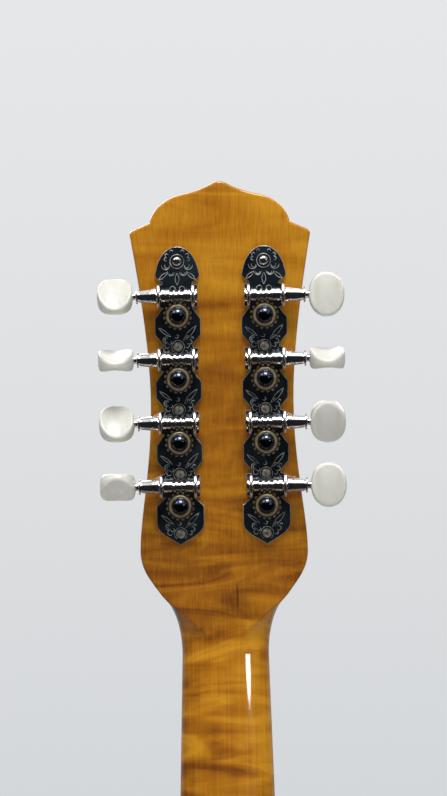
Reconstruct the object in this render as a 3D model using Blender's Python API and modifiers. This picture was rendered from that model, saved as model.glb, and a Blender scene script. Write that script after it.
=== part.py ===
"""Resonator mandolin, standing upright.

Metres, +Z up. The origin is on the plane that the fingerboard is glued to, where the headstock
breaks back from the neck. The front faces -Y, the treble side is +X, and the neck runs along Z.
"""

import math

import bmesh
import bpy
import numpy as np
from mathutils import Matrix, Vector

MM = 0.001
SEAT = 0.3 * MM  # clearance between pieces that touch
TURN = 2 * math.pi

# Strings and scale
SCALE_LENGTH = 352.4 * MM
FRET_COUNT = 17
BODY_FRET = 12
NUT_SPREAD = 24.2 * MM
NUT_PAIR_GAP = 2.2 * MM
SADDLE_SPREAD = 40.0 * MM
SADDLE_PAIR_GAP = 3.2 * MM
TAIL_SPREAD = 25.0 * MM
TAIL_PAIR_GAP = 2.8 * MM
NUT_ACTION = 0.3 * MM
BODY_ACTION = 1.6 * MM
STRING_RADIUS = {"g": 0.50 * MM, "d": 0.33 * MM, "a": 0.19 * MM, "e": 0.14 * MM}
WINDING_TURNS = {"g": 2, "d": 3, "a": 3, "e": 3}
WINDING_GAP = 0.5 * MM
WINDING_POINTS = 10

# Neck
NUT_WIDTH = 31.2 * MM
BODY_JOINT_WIDTH = 40.4 * MM
NECK_EDGE = 2.0 * MM
NECK_DEPTH = 12.4 * MM
NECK_DEPTH_AT_HEEL = 15.0 * MM
HEEL_LENGTH = 32.0 * MM
HEEL_DEPTH = 44.0 * MM
TENON_WIDTH = 18.0 * MM
TENON_LENGTH = 12.0 * MM
TENON_DEPTH = 26.0 * MM
TENON_START = 10.0 * MM
BAR_WIDTH = 4.0 * MM
BAR_DEPTH = 6.5 * MM
BAR_LENGTH = 150.0 * MM

# Nut and fingerboard
NUT_LENGTH = 5.0 * MM
BOARD_THICKNESS = 6.5 * MM
FRET_HEIGHT = 1.0 * MM
FRET_WIDTH = 1.8 * MM

# Headstock, measured along it from the break line
HEADSTOCK_PITCH = math.radians(14.0)
HEADSTOCK_DEPTH = 14.2 * MM
THROAT_START = 15.0 * MM
BULGE_HEIGHT = 24.9 * MM
BULGE_HALF = 30.5 * MM
WAIST_HEIGHT = 79.4 * MM
WAIST_HALF = 25.95 * MM
CORNER_HEIGHT = 141.0 * MM
CORNER_HALF = 32.95 * MM
NOTCH_HEIGHT = 144.5 * MM
NOTCH_HALF = 25.45 * MM
SHOULDER_HEIGHT = 154.8 * MM
SHOULDER_HALF = 13.4 * MM
PEAK_HEIGHT = 159.2 * MM
PEAK_HALF = 1.4 * MM
OVERLAY_THICKNESS = 1.5 * MM

# Tuners
TUNER_PITCH = 23.0 * MM
FIRST_POST = 42.0 * MM
POST_SPREAD = 31.4 * MM
POST_RADIUS = 3.0 * MM
POST_STAND = 14.2 * MM
POST_SIDES = 8
PLATE_THICKNESS = 1.2 * MM
PLATE_NECK_HALF = 5.4 * MM
PLATE_LOBE_HALF = 8.25 * MM
PLATE_SHIELD_HALF = 8.6 * MM
PLATE_LEAF_HALF = 7.9 * MM
EAR_HALF = 3.9 * MM
EAR_THICKNESS = 1.1 * MM
EAR_INNER = 5.1 * MM
EAR_OUTER = 6.2 * MM
WORM_HEIGHT = 4.3 * MM
WORM_CREST = 2.45 * MM
WORM_ROOT = 1.75 * MM
WORM_SIDES = 8
JOURNAL_RADIUS = 1.5 * MM
GEAR_TEETH = 16
GEAR_TIP = 5.2 * MM
GEAR_ROOT = 4.35 * MM
GEAR_THICKNESS = 2.6 * MM
GEAR_DISTANCE = 7.1 * MM
STUD_RADIUS = 1.5 * MM
SCREW_HEAD_RADIUS = 3.0 * MM
SCREW_HEAD_HEIGHT = 2.2 * MM
SHAFT_FLANGE = 15.8 * MM
TENON_RADIUS = 1.3 * MM
BUTTON_WIDTH = 12.7 * MM
BUTTON_LENGTH = 16.0 * MM
BUTTON_MIDDLE = 4.6 * MM
BUTTON_END = 7.2 * MM

# Body, with depths measured back from the neck's gluing plane
TOP_FACE = 3.0 * MM
BODY_DEPTH = 50.0 * MM
PLATE_WOOD = 3.2 * MM
SIDE_WOOD = 2.6 * MM
BODY_LENGTH = 335.0 * MM
BODY_HALF = 129.0 * MM
BODY_WIDEST = 214.0 * MM
BODY_FLAT_HALF = 24.0 * MM
NECK_BLOCK_HALF = 22.0 * MM
NECK_BLOCK_LENGTH = 20.0 * MM
TAIL_BLOCK_HALF = 24.0 * MM
TAIL_BLOCK_LENGTH = 16.0 * MM
F_HOLE_X = 62.0 * MM
F_HOLE_BELOW_JOINT = 62.0 * MM
F_HOLE_LENGTH = 50.0 * MM
F_HOLE_WIDTH = 5.0 * MM
F_HOLE_EYE = 4.6 * MM

# Resonator
CONE_RADIUS = 76.2 * MM
CONE_THICKNESS = 0.5 * MM
CONE_LEDGE_DEPTH = 19.0 * MM
WELL_WALL = 3.7 * MM
WELL_LEDGE = 5.5 * MM
WELL_WINDOWS = 8
WELL_WINDOW_RADIUS = 7.0 * MM
BISCUIT_RADIUS = 24.0 * MM
BISCUIT_THICKNESS = 6.5 * MM
SADDLE_THICKNESS = 3.0 * MM
SADDLE_HEIGHT = 9.0 * MM
COVER_RADIUS = 90.0 * MM
COVER_RIM = 11.0 * MM
COVER_RISE = 6.7 * MM
COVER_LAND = 46.0 * MM
COVER_OPENING = 27.0 * MM
COVER_METAL = 1.0 * MM
COVER_HOLES = 14
COVER_HOLE_RADII = (3.3 * MM, 2.5 * MM)
COVER_HOLE_RINGS = (65.5 * MM, 54.5 * MM)
REST_HALF = 30.0 * MM
REST_FOOT = 10.0 * MM
REST_WIDTH = 26.0 * MM
REST_RISE = 12.0 * MM
REST_METAL = 1.2 * MM

# Tail
TAILPIECE_HALF = 14.5 * MM
TAILPIECE_METAL = 1.2 * MM
COVER_TO_TAILPIECE = 10.8 * MM
TAILPIECE_DROP = 34.0 * MM
HOOK_RADIUS = 0.8 * MM
HOOK_HEIGHT = 2.4 * MM
HOOK_SETBACK = 7.0 * MM
END_PIN_DEPTH = 25.0 * MM
END_PIN_RADIUS = 3.0 * MM
END_PIN_KNOB = 6.8 * MM

ROUND_STEPS = 30

# Places worked out from the sizes
SADDLE_Z = -NUT_LENGTH - SCALE_LENGTH
JOINT_Z = -NUT_LENGTH - SCALE_LENGTH * (1 - 2 ** (-BODY_FRET / 12))
TAIL_Z = JOINT_Z - BODY_LENGTH
TAILPIECE_REACH = SADDLE_Z - COVER_RADIUS - COVER_TO_TAILPIECE - TAIL_Z
BACK_FACE = TOP_FACE + BODY_DEPTH
BOARD_FACE = -BOARD_THICKNESS
FRET_TOP = BOARD_FACE - FRET_HEIGHT
NUT_STRING = FRET_TOP - NUT_ACTION
STRING_SLOPE = (BODY_ACTION - NUT_ACTION) / (SCALE_LENGTH * (1 - 2 ** (-BODY_FRET / 12)))
SADDLE_TOP = NUT_STRING - STRING_SLOPE * SCALE_LENGTH
PLATE_BACK = HEADSTOCK_DEPTH + SEAT + PLATE_THICKNESS
WORM_AXIS = PLATE_BACK + WORM_HEIGHT
PITCH_CIRCLE = GEAR_DISTANCE - (WORM_CREST + WORM_ROOT) / 2
THREAD_PITCH = TURN * PITCH_CIRCLE / GEAR_TEETH
POST_HOLE = POST_RADIUS + SEAT

COURSES = ("g", "d", "a", "e")


def collection(name):
    made = bpy.data.collections.new(name)
    bpy.context.scene.collection.children.link(made)
    return made


for leftover in list(bpy.data.objects):
    bpy.data.objects.remove(leftover)
PARTS = collection("resonator_mandolin")
CUTTERS = collection("cutters")


def material(name, rgb, roughness, metallic=0.0):
    """A Principled material from a colour as it is seen, 0 to 255."""
    made = bpy.data.materials.new(name)
    made.use_nodes = True
    shader = made.node_tree.nodes["Principled BSDF"]
    linear = [(value / 255) ** 2.2 for value in rgb]
    shader.inputs["Base Color"].default_value = (*linear, 1)
    shader.inputs["Roughness"].default_value = roughness
    shader.inputs["Metallic"].default_value = metallic
    made.diffuse_color = (*linear, 1)
    return made


AMBER_MAPLE = material("amber_maple", (186, 117, 30), 0.25)
AMBER_TOP = material("amber_top", (200, 132, 48), 0.25)
PLAIN_WOOD = material("plain_wood", (205, 170, 120), 0.6)
EBONY = material("ebony", (28, 24, 22), 0.45)
BONE = material("bone", (232, 224, 205), 0.4)
IVORY_PLASTIC = material("ivory_plastic", (240, 238, 226), 0.3)
NICKEL = material("nickel", (190, 188, 182), 0.12, 1.0)
CHROME = material("chrome", (205, 206, 208), 0.08, 1.0)
BRONZE = material("bronze", (150, 118, 70), 0.3, 1.0)
ALUMINIUM = material("aluminium", (196, 198, 200), 0.3, 1.0)
STEEL_STRING = material("steel_string", (200, 200, 200), 0.25, 1.0)
WOUND_STRING = material("wound_string", (190, 140, 90), 0.3, 1.0)
CARBON = material("carbon", (35, 35, 38), 0.5)


def place(name, mesh, finish, parent=None, location=(0, 0, 0), rotation=(0, 0, 0)):
    """A named part at its place, shaded smooth but for its edges."""
    mesh.materials.clear()
    mesh.materials.append(finish)
    mesh.shade_smooth()
    mesh.set_sharp_from_angle(angle=math.radians(35))
    part = bpy.data.objects.new(name, mesh)
    PARTS.objects.link(part)
    part.parent = parent
    part.location = location
    part.rotation_euler = rotation
    return part


def cutter(name, mesh, parent=None):
    made = bpy.data.objects.new(name, mesh)
    CUTTERS.objects.link(made)
    made.parent = parent
    made.hide_render = True
    made.display_type = "WIRE"
    return made


def boolean(part, other, operation="DIFFERENCE", solver="EXACT"):
    modifier = part.modifiers.new(f"{operation.lower()}_{other.name}", "BOOLEAN")
    modifier.operation = operation
    modifier.solver = solver
    modifier.object = other


def applied(part):
    """The part's own mesh as its modifiers leave it."""
    bpy.context.view_layer.update()
    graph = bpy.context.evaluated_depsgraph_get()
    made = bpy.data.meshes.new_from_object(part.evaluated_get(graph))
    bpy.data.objects.remove(part)
    return made


def joined(*meshes):
    """Several meshes as one, each still its own body."""
    work = bmesh.new()
    for mesh in meshes:
        work.from_mesh(mesh)
    made = bpy.data.meshes.new("joined")
    work.to_mesh(made)
    work.free()
    return made


def moved(mesh, matrix):
    mesh.transform(matrix)
    return mesh


def united(base, *others):
    """One body from meshes that overlap."""
    part = place("uniting", base, NICKEL)
    added = [cutter("added", other) for other in others]
    for other in added:
        boolean(part, other, "UNION")
    made = applied(part)
    for other in added:
        bpy.data.objects.remove(other)
    return made


def slab(outlines, front, back):
    """A flat plate from its outline and its holes, as (x, z) points, between two depths in Y."""
    curve = bpy.data.curves.new("outline", "CURVE")
    curve.dimensions = "2D"
    curve.fill_mode = "BOTH"
    curve.extrude = (back - front) / 2
    for outline in outlines:
        spline = curve.splines.new("POLY")
        spline.points.add(len(outline) - 1)
        for point, (x, z) in zip(spline.points, outline):
            point.co = (x, z, 0, 1)
        spline.use_cyclic_u = True
    shape = bpy.data.objects.new("outline", curve)
    PARTS.objects.link(shape)
    made = applied(shape)
    bpy.data.curves.remove(curve)
    weld(made)
    made.transform(Matrix.Translation((0, (front + back) / 2, 0)) @ Matrix.Rotation(math.pi / 2, 4, "X"))
    return made


def weld(mesh, distance=0.001 * MM):
    work = bmesh.new()
    work.from_mesh(mesh)
    bmesh.ops.remove_doubles(work, verts=work.verts, dist=distance)
    bmesh.ops.recalc_face_normals(work, faces=work.faces)
    work.to_mesh(mesh)
    work.free()


def box(low, high):
    work = bmesh.new()
    size = Vector(high) - Vector(low)
    middle = (Vector(high) + Vector(low)) / 2
    bmesh.ops.create_cube(work, size=1, matrix=Matrix.Translation(middle) @ Matrix.Diagonal((*size, 1)))
    made = bpy.data.meshes.new("box")
    work.to_mesh(made)
    work.free()
    return made


def rod(radius, start, end, sides, tip_radius=None):
    """A cylinder, or a cone with a tip radius, from one point to another."""
    start, end = Vector(start), Vector(end)
    turn = (end - start).to_track_quat("Z", "Y").to_matrix().to_4x4()
    work = bmesh.new()
    bmesh.ops.create_cone(
        work,
        cap_ends=True,
        segments=sides,
        radius1=radius,
        radius2=radius if tip_radius is None else tip_radius,
        depth=(end - start).length,
        matrix=Matrix.Translation((start + end) / 2) @ turn,
    )
    made = bpy.data.meshes.new("rod")
    work.to_mesh(made)
    work.free()
    return made


def turned(name, profile, steps, closed=False):
    """A body of revolution about Y. The profile's (radius, y) points run from its back to its front."""
    work = bmesh.new()
    points = [work.verts.new((radius, y, 0)) for radius, y in profile]
    for first, second in zip(points, points[1:]):
        work.edges.new((first, second))
    if closed:
        work.edges.new((points[-1], points[0]))
    mesh = bpy.data.meshes.new(name)
    work.to_mesh(mesh)
    work.free()
    part = bpy.data.objects.new(name, mesh)
    PARTS.objects.link(part)
    screw = part.modifiers.new("turn", "SCREW")
    screw.axis = "Y"
    screw.steps = steps
    screw.render_steps = steps
    screw.use_merge_vertices = True
    screw.merge_threshold = 0.00001
    made = applied(part)
    weld(made)
    return made


def loft(rings):
    """A closed skin through rings of as many points each, with flat ends."""
    work = bmesh.new()
    rows = [[work.verts.new(point) for point in ring] for ring in rings]
    count = len(rows[0])
    for lower, upper in zip(rows, rows[1:]):
        for i in range(count):
            j = (i + 1) % count
            work.faces.new((lower[i], lower[j], upper[j], upper[i]))
    work.faces.new(rows[0][::-1])
    work.faces.new(rows[-1])
    bmesh.ops.recalc_face_normals(work, faces=work.faces)
    made = bpy.data.meshes.new("loft")
    work.to_mesh(made)
    work.free()
    return made


def bezier(start, first, second, end, steps):
    """Points on a cubic curve, without its last one."""
    weights = ((1 - t, t) for t in (i / steps for i in range(steps)))
    return [
        tuple(
            a**3 * p + 3 * a * a * b * q + 3 * a * b * b * r + b**3 * s
            for p, q, r, s in zip(start, first, second, end)
        )
        for a, b in weights
    ]


def circle(centre, radius, sides, start=0.0):
    return [
        (centre[0] + radius * math.cos(start + TURN * i / sides), centre[1] + radius * math.sin(start + TURN * i / sides))
        for i in range(sides)
    ]


def mirrored(half):
    """A closed outline from its right half, listed from top to bottom."""
    return half + [(-x, z) for x, z in reversed(half) if x > 1e-9]


def headstock_frame():
    frame = bpy.data.objects.new("headstock_frame", None)
    PARTS.objects.link(frame)
    frame.rotation_euler = (-HEADSTOCK_PITCH, 0, 0)
    return frame


def neck_half(z):
    """Half the neck's width at a place below the nut."""
    slope = (BODY_JOINT_WIDTH - NUT_WIDTH) / 2 / (SCALE_LENGTH * (1 - 2 ** (-BODY_FRET / 12)))
    return NUT_WIDTH / 2 + slope * (-NUT_LENGTH - z)


def headstock_side():
    """(height, half width) of the headstock's edge, from the neck below the nut up to the peak."""
    throat = (-THROAT_START, neck_half(-THROAT_START))
    bulge = (BULGE_HEIGHT, BULGE_HALF)
    waist = (WAIST_HEIGHT, WAIST_HALF)
    corner = (CORNER_HEIGHT, CORNER_HALF)
    notch = (NOTCH_HEIGHT, NOTCH_HALF)
    shoulder = (SHOULDER_HEIGHT, SHOULDER_HALF)
    peak = (PEAK_HEIGHT, PEAK_HALF)
    rise = BULGE_HEIGHT + THROAT_START
    drop = WAIST_HEIGHT - BULGE_HEIGHT
    flare = CORNER_HEIGHT - WAIST_HEIGHT
    points = bezier(throat, (-THROAT_START + 0.61 * rise, throat[1]), (BULGE_HEIGHT - 0.34 * rise, BULGE_HALF), bulge, 8)
    points += bezier(bulge, (BULGE_HEIGHT + 0.24 * drop, BULGE_HALF), (WAIST_HEIGHT - 0.45 * drop, WAIST_HALF), waist, 5)
    points += bezier(
        waist,
        (WAIST_HEIGHT + 0.33 * flare, WAIST_HALF),
        (CORNER_HEIGHT - 0.26 * flare, CORNER_HALF - 2.8 * MM),
        corner,
        5,
    )
    points.append(corner)
    points += bezier(
        notch,
        (NOTCH_HEIGHT + 4.5 * MM, NOTCH_HALF - 0.7 * MM),
        (SHOULDER_HEIGHT - 1.3 * MM, SHOULDER_HALF + 7 * MM),
        shoulder,
        5,
    )
    points += bezier(
        shoulder,
        (SHOULDER_HEIGHT + 1.0 * MM, SHOULDER_HALF - 5 * MM),
        (PEAK_HEIGHT - 2.0 * MM, PEAK_HALF + 4 * MM),
        peak,
        4,
    )
    points.append(peak)
    return points


def back_flat_half(s, half):
    """Half the width of the headstock's flat back, which runs out in a V on the neck."""
    v_end, v_start = -9.0 * MM, BULGE_HEIGHT
    if s >= v_start:
        return half
    if s <= v_end:
        return 0.9 * MM
    t = (s - v_end) / (v_start - v_end)
    return max(0.9 * MM, min(half - 0.2 * MM, half * (1 - (1 - t) ** 2.6)))


def neck_section(s, half):
    """One ring of the neck: front edge, rounded side and flat back, in world (x, y, z)."""
    bend = min(1.0, max(0.0, (s + 9 * MM) / (18 * MM)))
    lean = HEADSTOCK_PITCH * bend
    up = Vector((0, math.sin(HEADSTOCK_PITCH), math.cos(HEADSTOCK_PITCH))) * s if s > 0 else Vector((0, 0, s))
    back = Vector((0, math.cos(lean), -math.sin(lean)))
    plane = (HEADSTOCK_DEPTH + min(s, 0) * math.sin(HEADSTOCK_PITCH)) / math.cos(HEADSTOCK_PITCH - lean)
    heel = min(1.0, max(0.0, (JOINT_Z + HEEL_LENGTH - s) / HEEL_LENGTH))
    taper = (NECK_DEPTH_AT_HEEL - NECK_DEPTH) * min(1.0, s / JOINT_Z) if s < 0 else 0
    depth = max(plane, NECK_DEPTH + taper + (HEEL_DEPTH - NECK_DEPTH_AT_HEEL) * heel**2.2)
    flat = back_flat_half(s, half)
    sweep = math.pi / 2 if flat < 1 * MM else math.radians(62)
    edge = min(NECK_EDGE, depth / 2)
    side = [(half, 0.0)]
    for k in range(5):
        angle = sweep * k / 4
        x = flat + (half - flat) * (math.cos(angle) - math.cos(sweep)) / (1 - math.cos(sweep))
        side.append((x, edge + (depth - edge) * math.sin(angle) / math.sin(sweep)))
    ring = side + [(-x, y) for x, y in reversed(side)]
    return [Vector((x, 0, 0)) + up + back * y for x, y in ring]


def neck_mesh():
    heel_rows = [JOINT_Z + SEAT + HEEL_LENGTH * k / 5 for k in range(5)]
    shaft_rows = [JOINT_Z + HEEL_LENGTH, JOINT_Z / 2, -THROAT_START - 20 * MM]
    rings = [neck_section(s, neck_half(s)) for s in heel_rows + shaft_rows]
    rings += [neck_section(s, half) for s, half in headstock_side()]
    return loft(rings)


def post_places():
    """(side, course, pair member, x, height along the headstock) of each tuner, from the nut up."""
    places = []
    for side, names in ((-1, ("g", "d")), (1, ("e", "a"))):
        for row in range(4):
            height = FIRST_POST + TUNER_PITCH * row
            places.append((side, names[row // 2], row % 2 + 1, side * POST_SPREAD / 2, height, row))
    return places


def neck(frame):
    extension = box(
        (-NUT_WIDTH / 2, 0, board_end() + 2 * MM),
        (NUT_WIDTH / 2, TOP_FACE - SEAT, JOINT_Z + 6 * MM),
    )
    tenon = box(
        (-TENON_WIDTH / 2, TENON_START, JOINT_Z - TENON_LENGTH),
        (TENON_WIDTH / 2, TENON_START + TENON_DEPTH, JOINT_Z + 4 * MM),
    )
    made = place("neck", united(neck_mesh(), extension, tenon), AMBER_MAPLE)
    boolean(made, cutter("post_holes", joined(*post_drills())))
    made.modifiers[-1].object.parent = frame
    slot = box(
        (-BAR_WIDTH / 2 - SEAT, -1 * MM, -NUT_LENGTH - 8 * MM - BAR_LENGTH - SEAT),
        (BAR_WIDTH / 2 + SEAT, BAR_DEPTH + SEAT, -NUT_LENGTH - 8 * MM + SEAT),
    )
    boolean(made, cutter("bar_slot", slot), solver="MANIFOLD")


def post_drills():
    """The bores of the eight posts, through the headstock and its face veneer."""
    return [
        rod(POST_HOLE, (x, -8 * MM, height), (x, HEADSTOCK_DEPTH + 8 * MM, height), POST_SIDES)
        for side, course, member, x, height, row in post_places()
    ]


def neck_bar():
    bar = box(
        (-BAR_WIDTH / 2, 0, -NUT_LENGTH - 8 * MM - BAR_LENGTH),
        (BAR_WIDTH / 2, BAR_DEPTH, -NUT_LENGTH - 8 * MM),
    )
    place("neck_bar", bar, CARBON)


def headstock_overlay(frame):
    """The face veneer, with a bushing standing proud round each post."""
    side = [(half, s) for s, half in headstock_side() if s > 4 * MM]
    foot = [(half, s) for s, half in headstock_side() if s <= 4 * MM][-1]
    outline = mirrored(list(reversed([(foot[0] + 1 * MM, 2.2 * MM)] + side)))
    holes = [circle((x, height), POST_HOLE, POST_SIDES) for side, course, member, x, height, row in post_places()]
    front = -SEAT - OVERLAY_THICKNESS
    sheet = slab([outline] + holes, front, -SEAT)
    rings = []
    for side, course, member, x, height, row in post_places():
        rim = (circle((x, height), 5 * MM, POST_SIDES), circle((x, height), POST_HOLE, POST_SIDES))
        rings.append(slab(rim, front - 0.9 * MM, front + 0.4 * MM))
    place("headstock_overlay", united(sheet, joined(*rings)), EBONY, frame)


def board_end():
    """Where the fingerboard stops, just past its last fret."""
    return -NUT_LENGTH - SCALE_LENGTH * (1 - 2 ** (-FRET_COUNT / 12)) - 5 * MM


def fingerboard():
    """The board's side view with its frets standing on it, drawn out across the neck and tapered."""
    profile = [(0, -NUT_LENGTH - SEAT), (BOARD_FACE, -NUT_LENGTH - SEAT)]
    for fret in range(1, FRET_COUNT + 1):
        z = -NUT_LENGTH - SCALE_LENGTH * (1 - 2 ** (-fret / 12))
        crown = FRET_WIDTH / 4
        profile += [(BOARD_FACE, z + FRET_WIDTH / 2), (FRET_TOP, z + crown)]
        profile += [(FRET_TOP, z - crown), (BOARD_FACE, z - FRET_WIDTH / 2)]
    profile += [(BOARD_FACE, board_end()), (0, board_end())]
    board = slab([profile], -0.5, 0.5)
    for point in board.vertices:
        depth, across, z = point.co
        point.co = (math.copysign(neck_half(z), across), depth - SEAT, z)
    weld(board)
    place("fingerboard", board, EBONY)


def string_x(index, spread, pair_gap):
    """Where string 0 (lowest) to 7 (highest) lies across a nut, saddle or tailpiece."""
    course, member = divmod(index, 2)
    middle = (spread - pair_gap) * (course / 3 - 0.5)
    return middle + (member - 0.5) * pair_gap


def string_name(index):
    return COURSES[index // 2]


def notched(half, top, foot, spread, pair_gap, slot_depth):
    """The front view of a nut or saddle as (x, y), with a notch that each string drops into."""
    outline = [(-half, foot), (-half, top)]
    for index in range(8):
        x = string_x(index, spread, pair_gap)
        wide = STRING_RADIUS[string_name(index)] + SEAT
        outline += [(x - wide, top), (x - wide, top + slot_depth), (x + wide, top + slot_depth), (x + wide, top)]
    return outline + [(half, top), (half, foot)]


def crosswise(outline, low, high):
    """A plate from an (x, y) outline, between two heights in Z."""
    made = slab([outline], low, high)
    return moved(made, Matrix.Rotation(math.pi / 2, 4, "X"))


def nut():
    seat = NUT_STRING + SEAT
    slot_depth = 0.8 * MM
    half = neck_half(-NUT_LENGTH)
    outline = [(x, -y) for x, y in notched(half, seat - slot_depth, -SEAT, NUT_SPREAD, NUT_PAIR_GAP, slot_depth)]
    place("nut", crosswise(outline, -NUT_LENGTH, 0), BONE)


def saddle():
    """The maple saddle, standing in the biscuit's slot."""
    slot_depth = 0.6 * MM
    top = SADDLE_TOP + SEAT - slot_depth
    foot = SADDLE_TOP + SADDLE_HEIGHT + 2 * MM
    half = BISCUIT_RADIUS - 1.5 * MM
    outline = [(x, -y) for x, y in notched(half, top, foot, SADDLE_SPREAD, SADDLE_PAIR_GAP, slot_depth)]
    place("saddle", crosswise(outline, SADDLE_Z - SADDLE_THICKNESS / 2, SADDLE_Z + SADDLE_THICKNESS / 2), PLAIN_WOOD)


def about_saddle(mesh):
    """Moves what is turned about Y to the resonator's centre."""
    return moved(mesh, Matrix.Translation((0, 0, SADDLE_Z)))


def biscuit():
    front = SADDLE_TOP + SADDLE_HEIGHT
    back = front + BISCUIT_THICKNESS
    profile = [(0, back), (BISCUIT_RADIUS, back), (BISCUIT_RADIUS, front + 1 * MM), (BISCUIT_RADIUS - 1 * MM, front), (0, front)]
    made = place("biscuit", about_saddle(turned("biscuit", profile, 24)), PLAIN_WOOD)
    slot = box(
        (-BISCUIT_RADIUS + 1.5 * MM - SEAT, front - 1 * MM, SADDLE_Z - SADDLE_THICKNESS / 2 - SEAT),
        (BISCUIT_RADIUS - 1.5 * MM + SEAT, front + 2 * MM + SEAT, SADDLE_Z + SADDLE_THICKNESS / 2 + SEAT),
    )
    boolean(made, cutter("saddle_slot", slot))


def cone():
    """Spun from one thin sheet: a flat rim on the well's ledge, rising to a plateau under the biscuit."""
    rim = TOP_FACE + CONE_LEDGE_DEPTH - SEAT
    plateau = SADDLE_TOP + SADDLE_HEIGHT + BISCUIT_THICKNESS + SEAT
    fall = rim - plateau - CONE_THICKNESS
    front = [
        (0, plateau),
        (BISCUIT_RADIUS - 1 * MM, plateau),
        (BISCUIT_RADIUS + 2 * MM, plateau + 0.08 * fall),
        (0.62 * CONE_RADIUS, plateau + 0.55 * fall),
        (CONE_RADIUS - 8 * MM, plateau + 0.97 * fall),
        (CONE_RADIUS - 5 * MM, plateau + fall),
        (CONE_RADIUS, plateau + fall),
    ]
    back = [(radius, y + CONE_THICKNESS) for radius, y in front]
    place("cone", about_saddle(turned("cone", back + front[::-1], ROUND_STEPS)), ALUMINIUM)


def soundwell():
    """A turned ring with the cone's ledge and a row of windows below it."""
    bore = CONE_RADIUS + 0.8 * MM
    outer = bore + WELL_WALL
    ledge = TOP_FACE + CONE_LEDGE_DEPTH
    front = TOP_FACE + PLATE_WOOD + SEAT
    back = BACK_FACE - PLATE_WOOD - SEAT
    profile = [
        (bore, back),
        (outer, back),
        (outer, front),
        (bore, front),
        (bore, ledge),
        (bore - WELL_LEDGE, ledge),
        (bore - WELL_LEDGE, ledge + 4 * MM),
        (bore, ledge + 6 * MM),
    ]
    made = place("soundwell", about_saddle(turned("soundwell", profile, ROUND_STEPS, closed=True)), PLAIN_WOOD)
    window = (ledge + 6 * MM + back) / 2
    drills = []
    for index in range(WELL_WINDOWS):
        angle = TURN * (index + 0.5) / WELL_WINDOWS
        away = Vector((math.cos(angle), 0, math.sin(angle)))
        centre = Vector((0, window, SADDLE_Z))
        drills.append(rod(WELL_WINDOW_RADIUS, centre + away * (bore - 8 * MM), centre + away * (outer + 6 * MM), 8))
    boolean(made, cutter("well_windows", joined(*drills)))


def coverplate():
    """Pressed sheet: flat rim, stepped dome with two rings of holes, and a flat land round the opening."""
    rim = TOP_FACE - SEAT
    crown = rim - COVER_RISE
    back = [
        (COVER_OPENING, crown),
        (COVER_LAND, crown),
        (COVER_RADIUS - COVER_RIM - 7 * MM, crown + 0.5 * COVER_RISE),
        (COVER_RADIUS - COVER_RIM - 3 * MM, crown + 0.66 * COVER_RISE),
        (COVER_RADIUS - COVER_RIM, rim),
        (COVER_RADIUS, rim),
    ]
    front = [(radius, y - COVER_METAL) for radius, y in reversed(back)]
    plate = about_saddle(turned("coverplate", back + front, ROUND_STEPS, closed=True))
    made = place("coverplate", plate, NICKEL)
    drills = []
    for ring, (away, radius) in enumerate(zip(COVER_HOLE_RINGS, COVER_HOLE_RADII)):
        for index in range(COVER_HOLES):
            angle = TURN * (index + 0.5 * ring) / COVER_HOLES
            x = away * math.cos(angle)
            z = SADDLE_Z + away * math.sin(angle)
            drills.append(rod(radius, (x, crown - 6 * MM, z), (x, rim + 4 * MM, z), 6))
    boolean(made, cutter("cover_holes", joined(*drills)))


def handrest():
    """A strip arched over the saddle and the strings, with its feet on the coverplate's land."""
    foot = TOP_FACE - 2 * SEAT - COVER_RISE - COVER_METAL
    outer = [(REST_HALF + REST_FOOT, foot), (REST_HALF + REST_FOOT, foot - REST_METAL)]
    inner = [(REST_HALF, foot)]
    for k in range(7):
        angle = math.pi / 2 * k / 6
        x, rise = REST_HALF * math.cos(angle) ** 0.5, REST_RISE * math.sin(angle) ** 0.7
        if k:
            outer.append(((REST_HALF + REST_METAL) * math.cos(angle) ** 0.5, foot - REST_METAL - rise))
            inner.append((x, foot - rise))
        else:
            outer.append((REST_HALF + REST_METAL, foot - REST_METAL))
    top = [point for point in outer if point[0] > 1e-6] + [(0, outer[-1][1])]
    under = [point for point in inner if point[0] > 1e-6] + [(0, inner[-1][1])]
    loop = top + [(-x, y) for x, y in reversed(top[:-1])] + [(-x, y) for x, y in under[:-1]] + list(reversed(under))
    made = crosswise([(x, -y) for x, y in loop], SADDLE_Z - REST_WIDTH / 2, SADDLE_Z + REST_WIDTH / 2)
    place("handrest", made, NICKEL)


def body_half():
    """The right half of the body's outline from above, from the neck joint down to the tail."""
    shoulder = (BODY_FLAT_HALF, JOINT_Z)
    widest = (BODY_HALF, JOINT_Z - BODY_WIDEST)
    tail = (0.0, TAIL_Z)
    points = [(0.0, JOINT_Z)]
    points += bezier(
        shoulder,
        (BODY_FLAT_HALF + 0.46 * (BODY_HALF - BODY_FLAT_HALF), JOINT_Z - 0.012 * BODY_WIDEST),
        (BODY_HALF, JOINT_Z - 0.5 * BODY_WIDEST),
        widest,
        12,
    )
    below = BODY_LENGTH - BODY_WIDEST
    points += bezier(widest, (BODY_HALF, widest[1] - 0.6 * below), (0.5 * BODY_HALF, TAIL_Z), tail, 11)
    points.append(tail)
    return points


def body_outline(inset=0.0):
    """The closed outline, set in from the body's edge."""
    ring = mirrored(body_half())
    made = []
    for i, (x, z) in enumerate(ring):
        before, after = ring[i - 1], ring[(i + 1) % len(ring)]
        along = Vector((after[0] - before[0], after[1] - before[1])).normalized()
        made.append((x + inset * along.y, z - inset * along.x))
    return made


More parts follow.
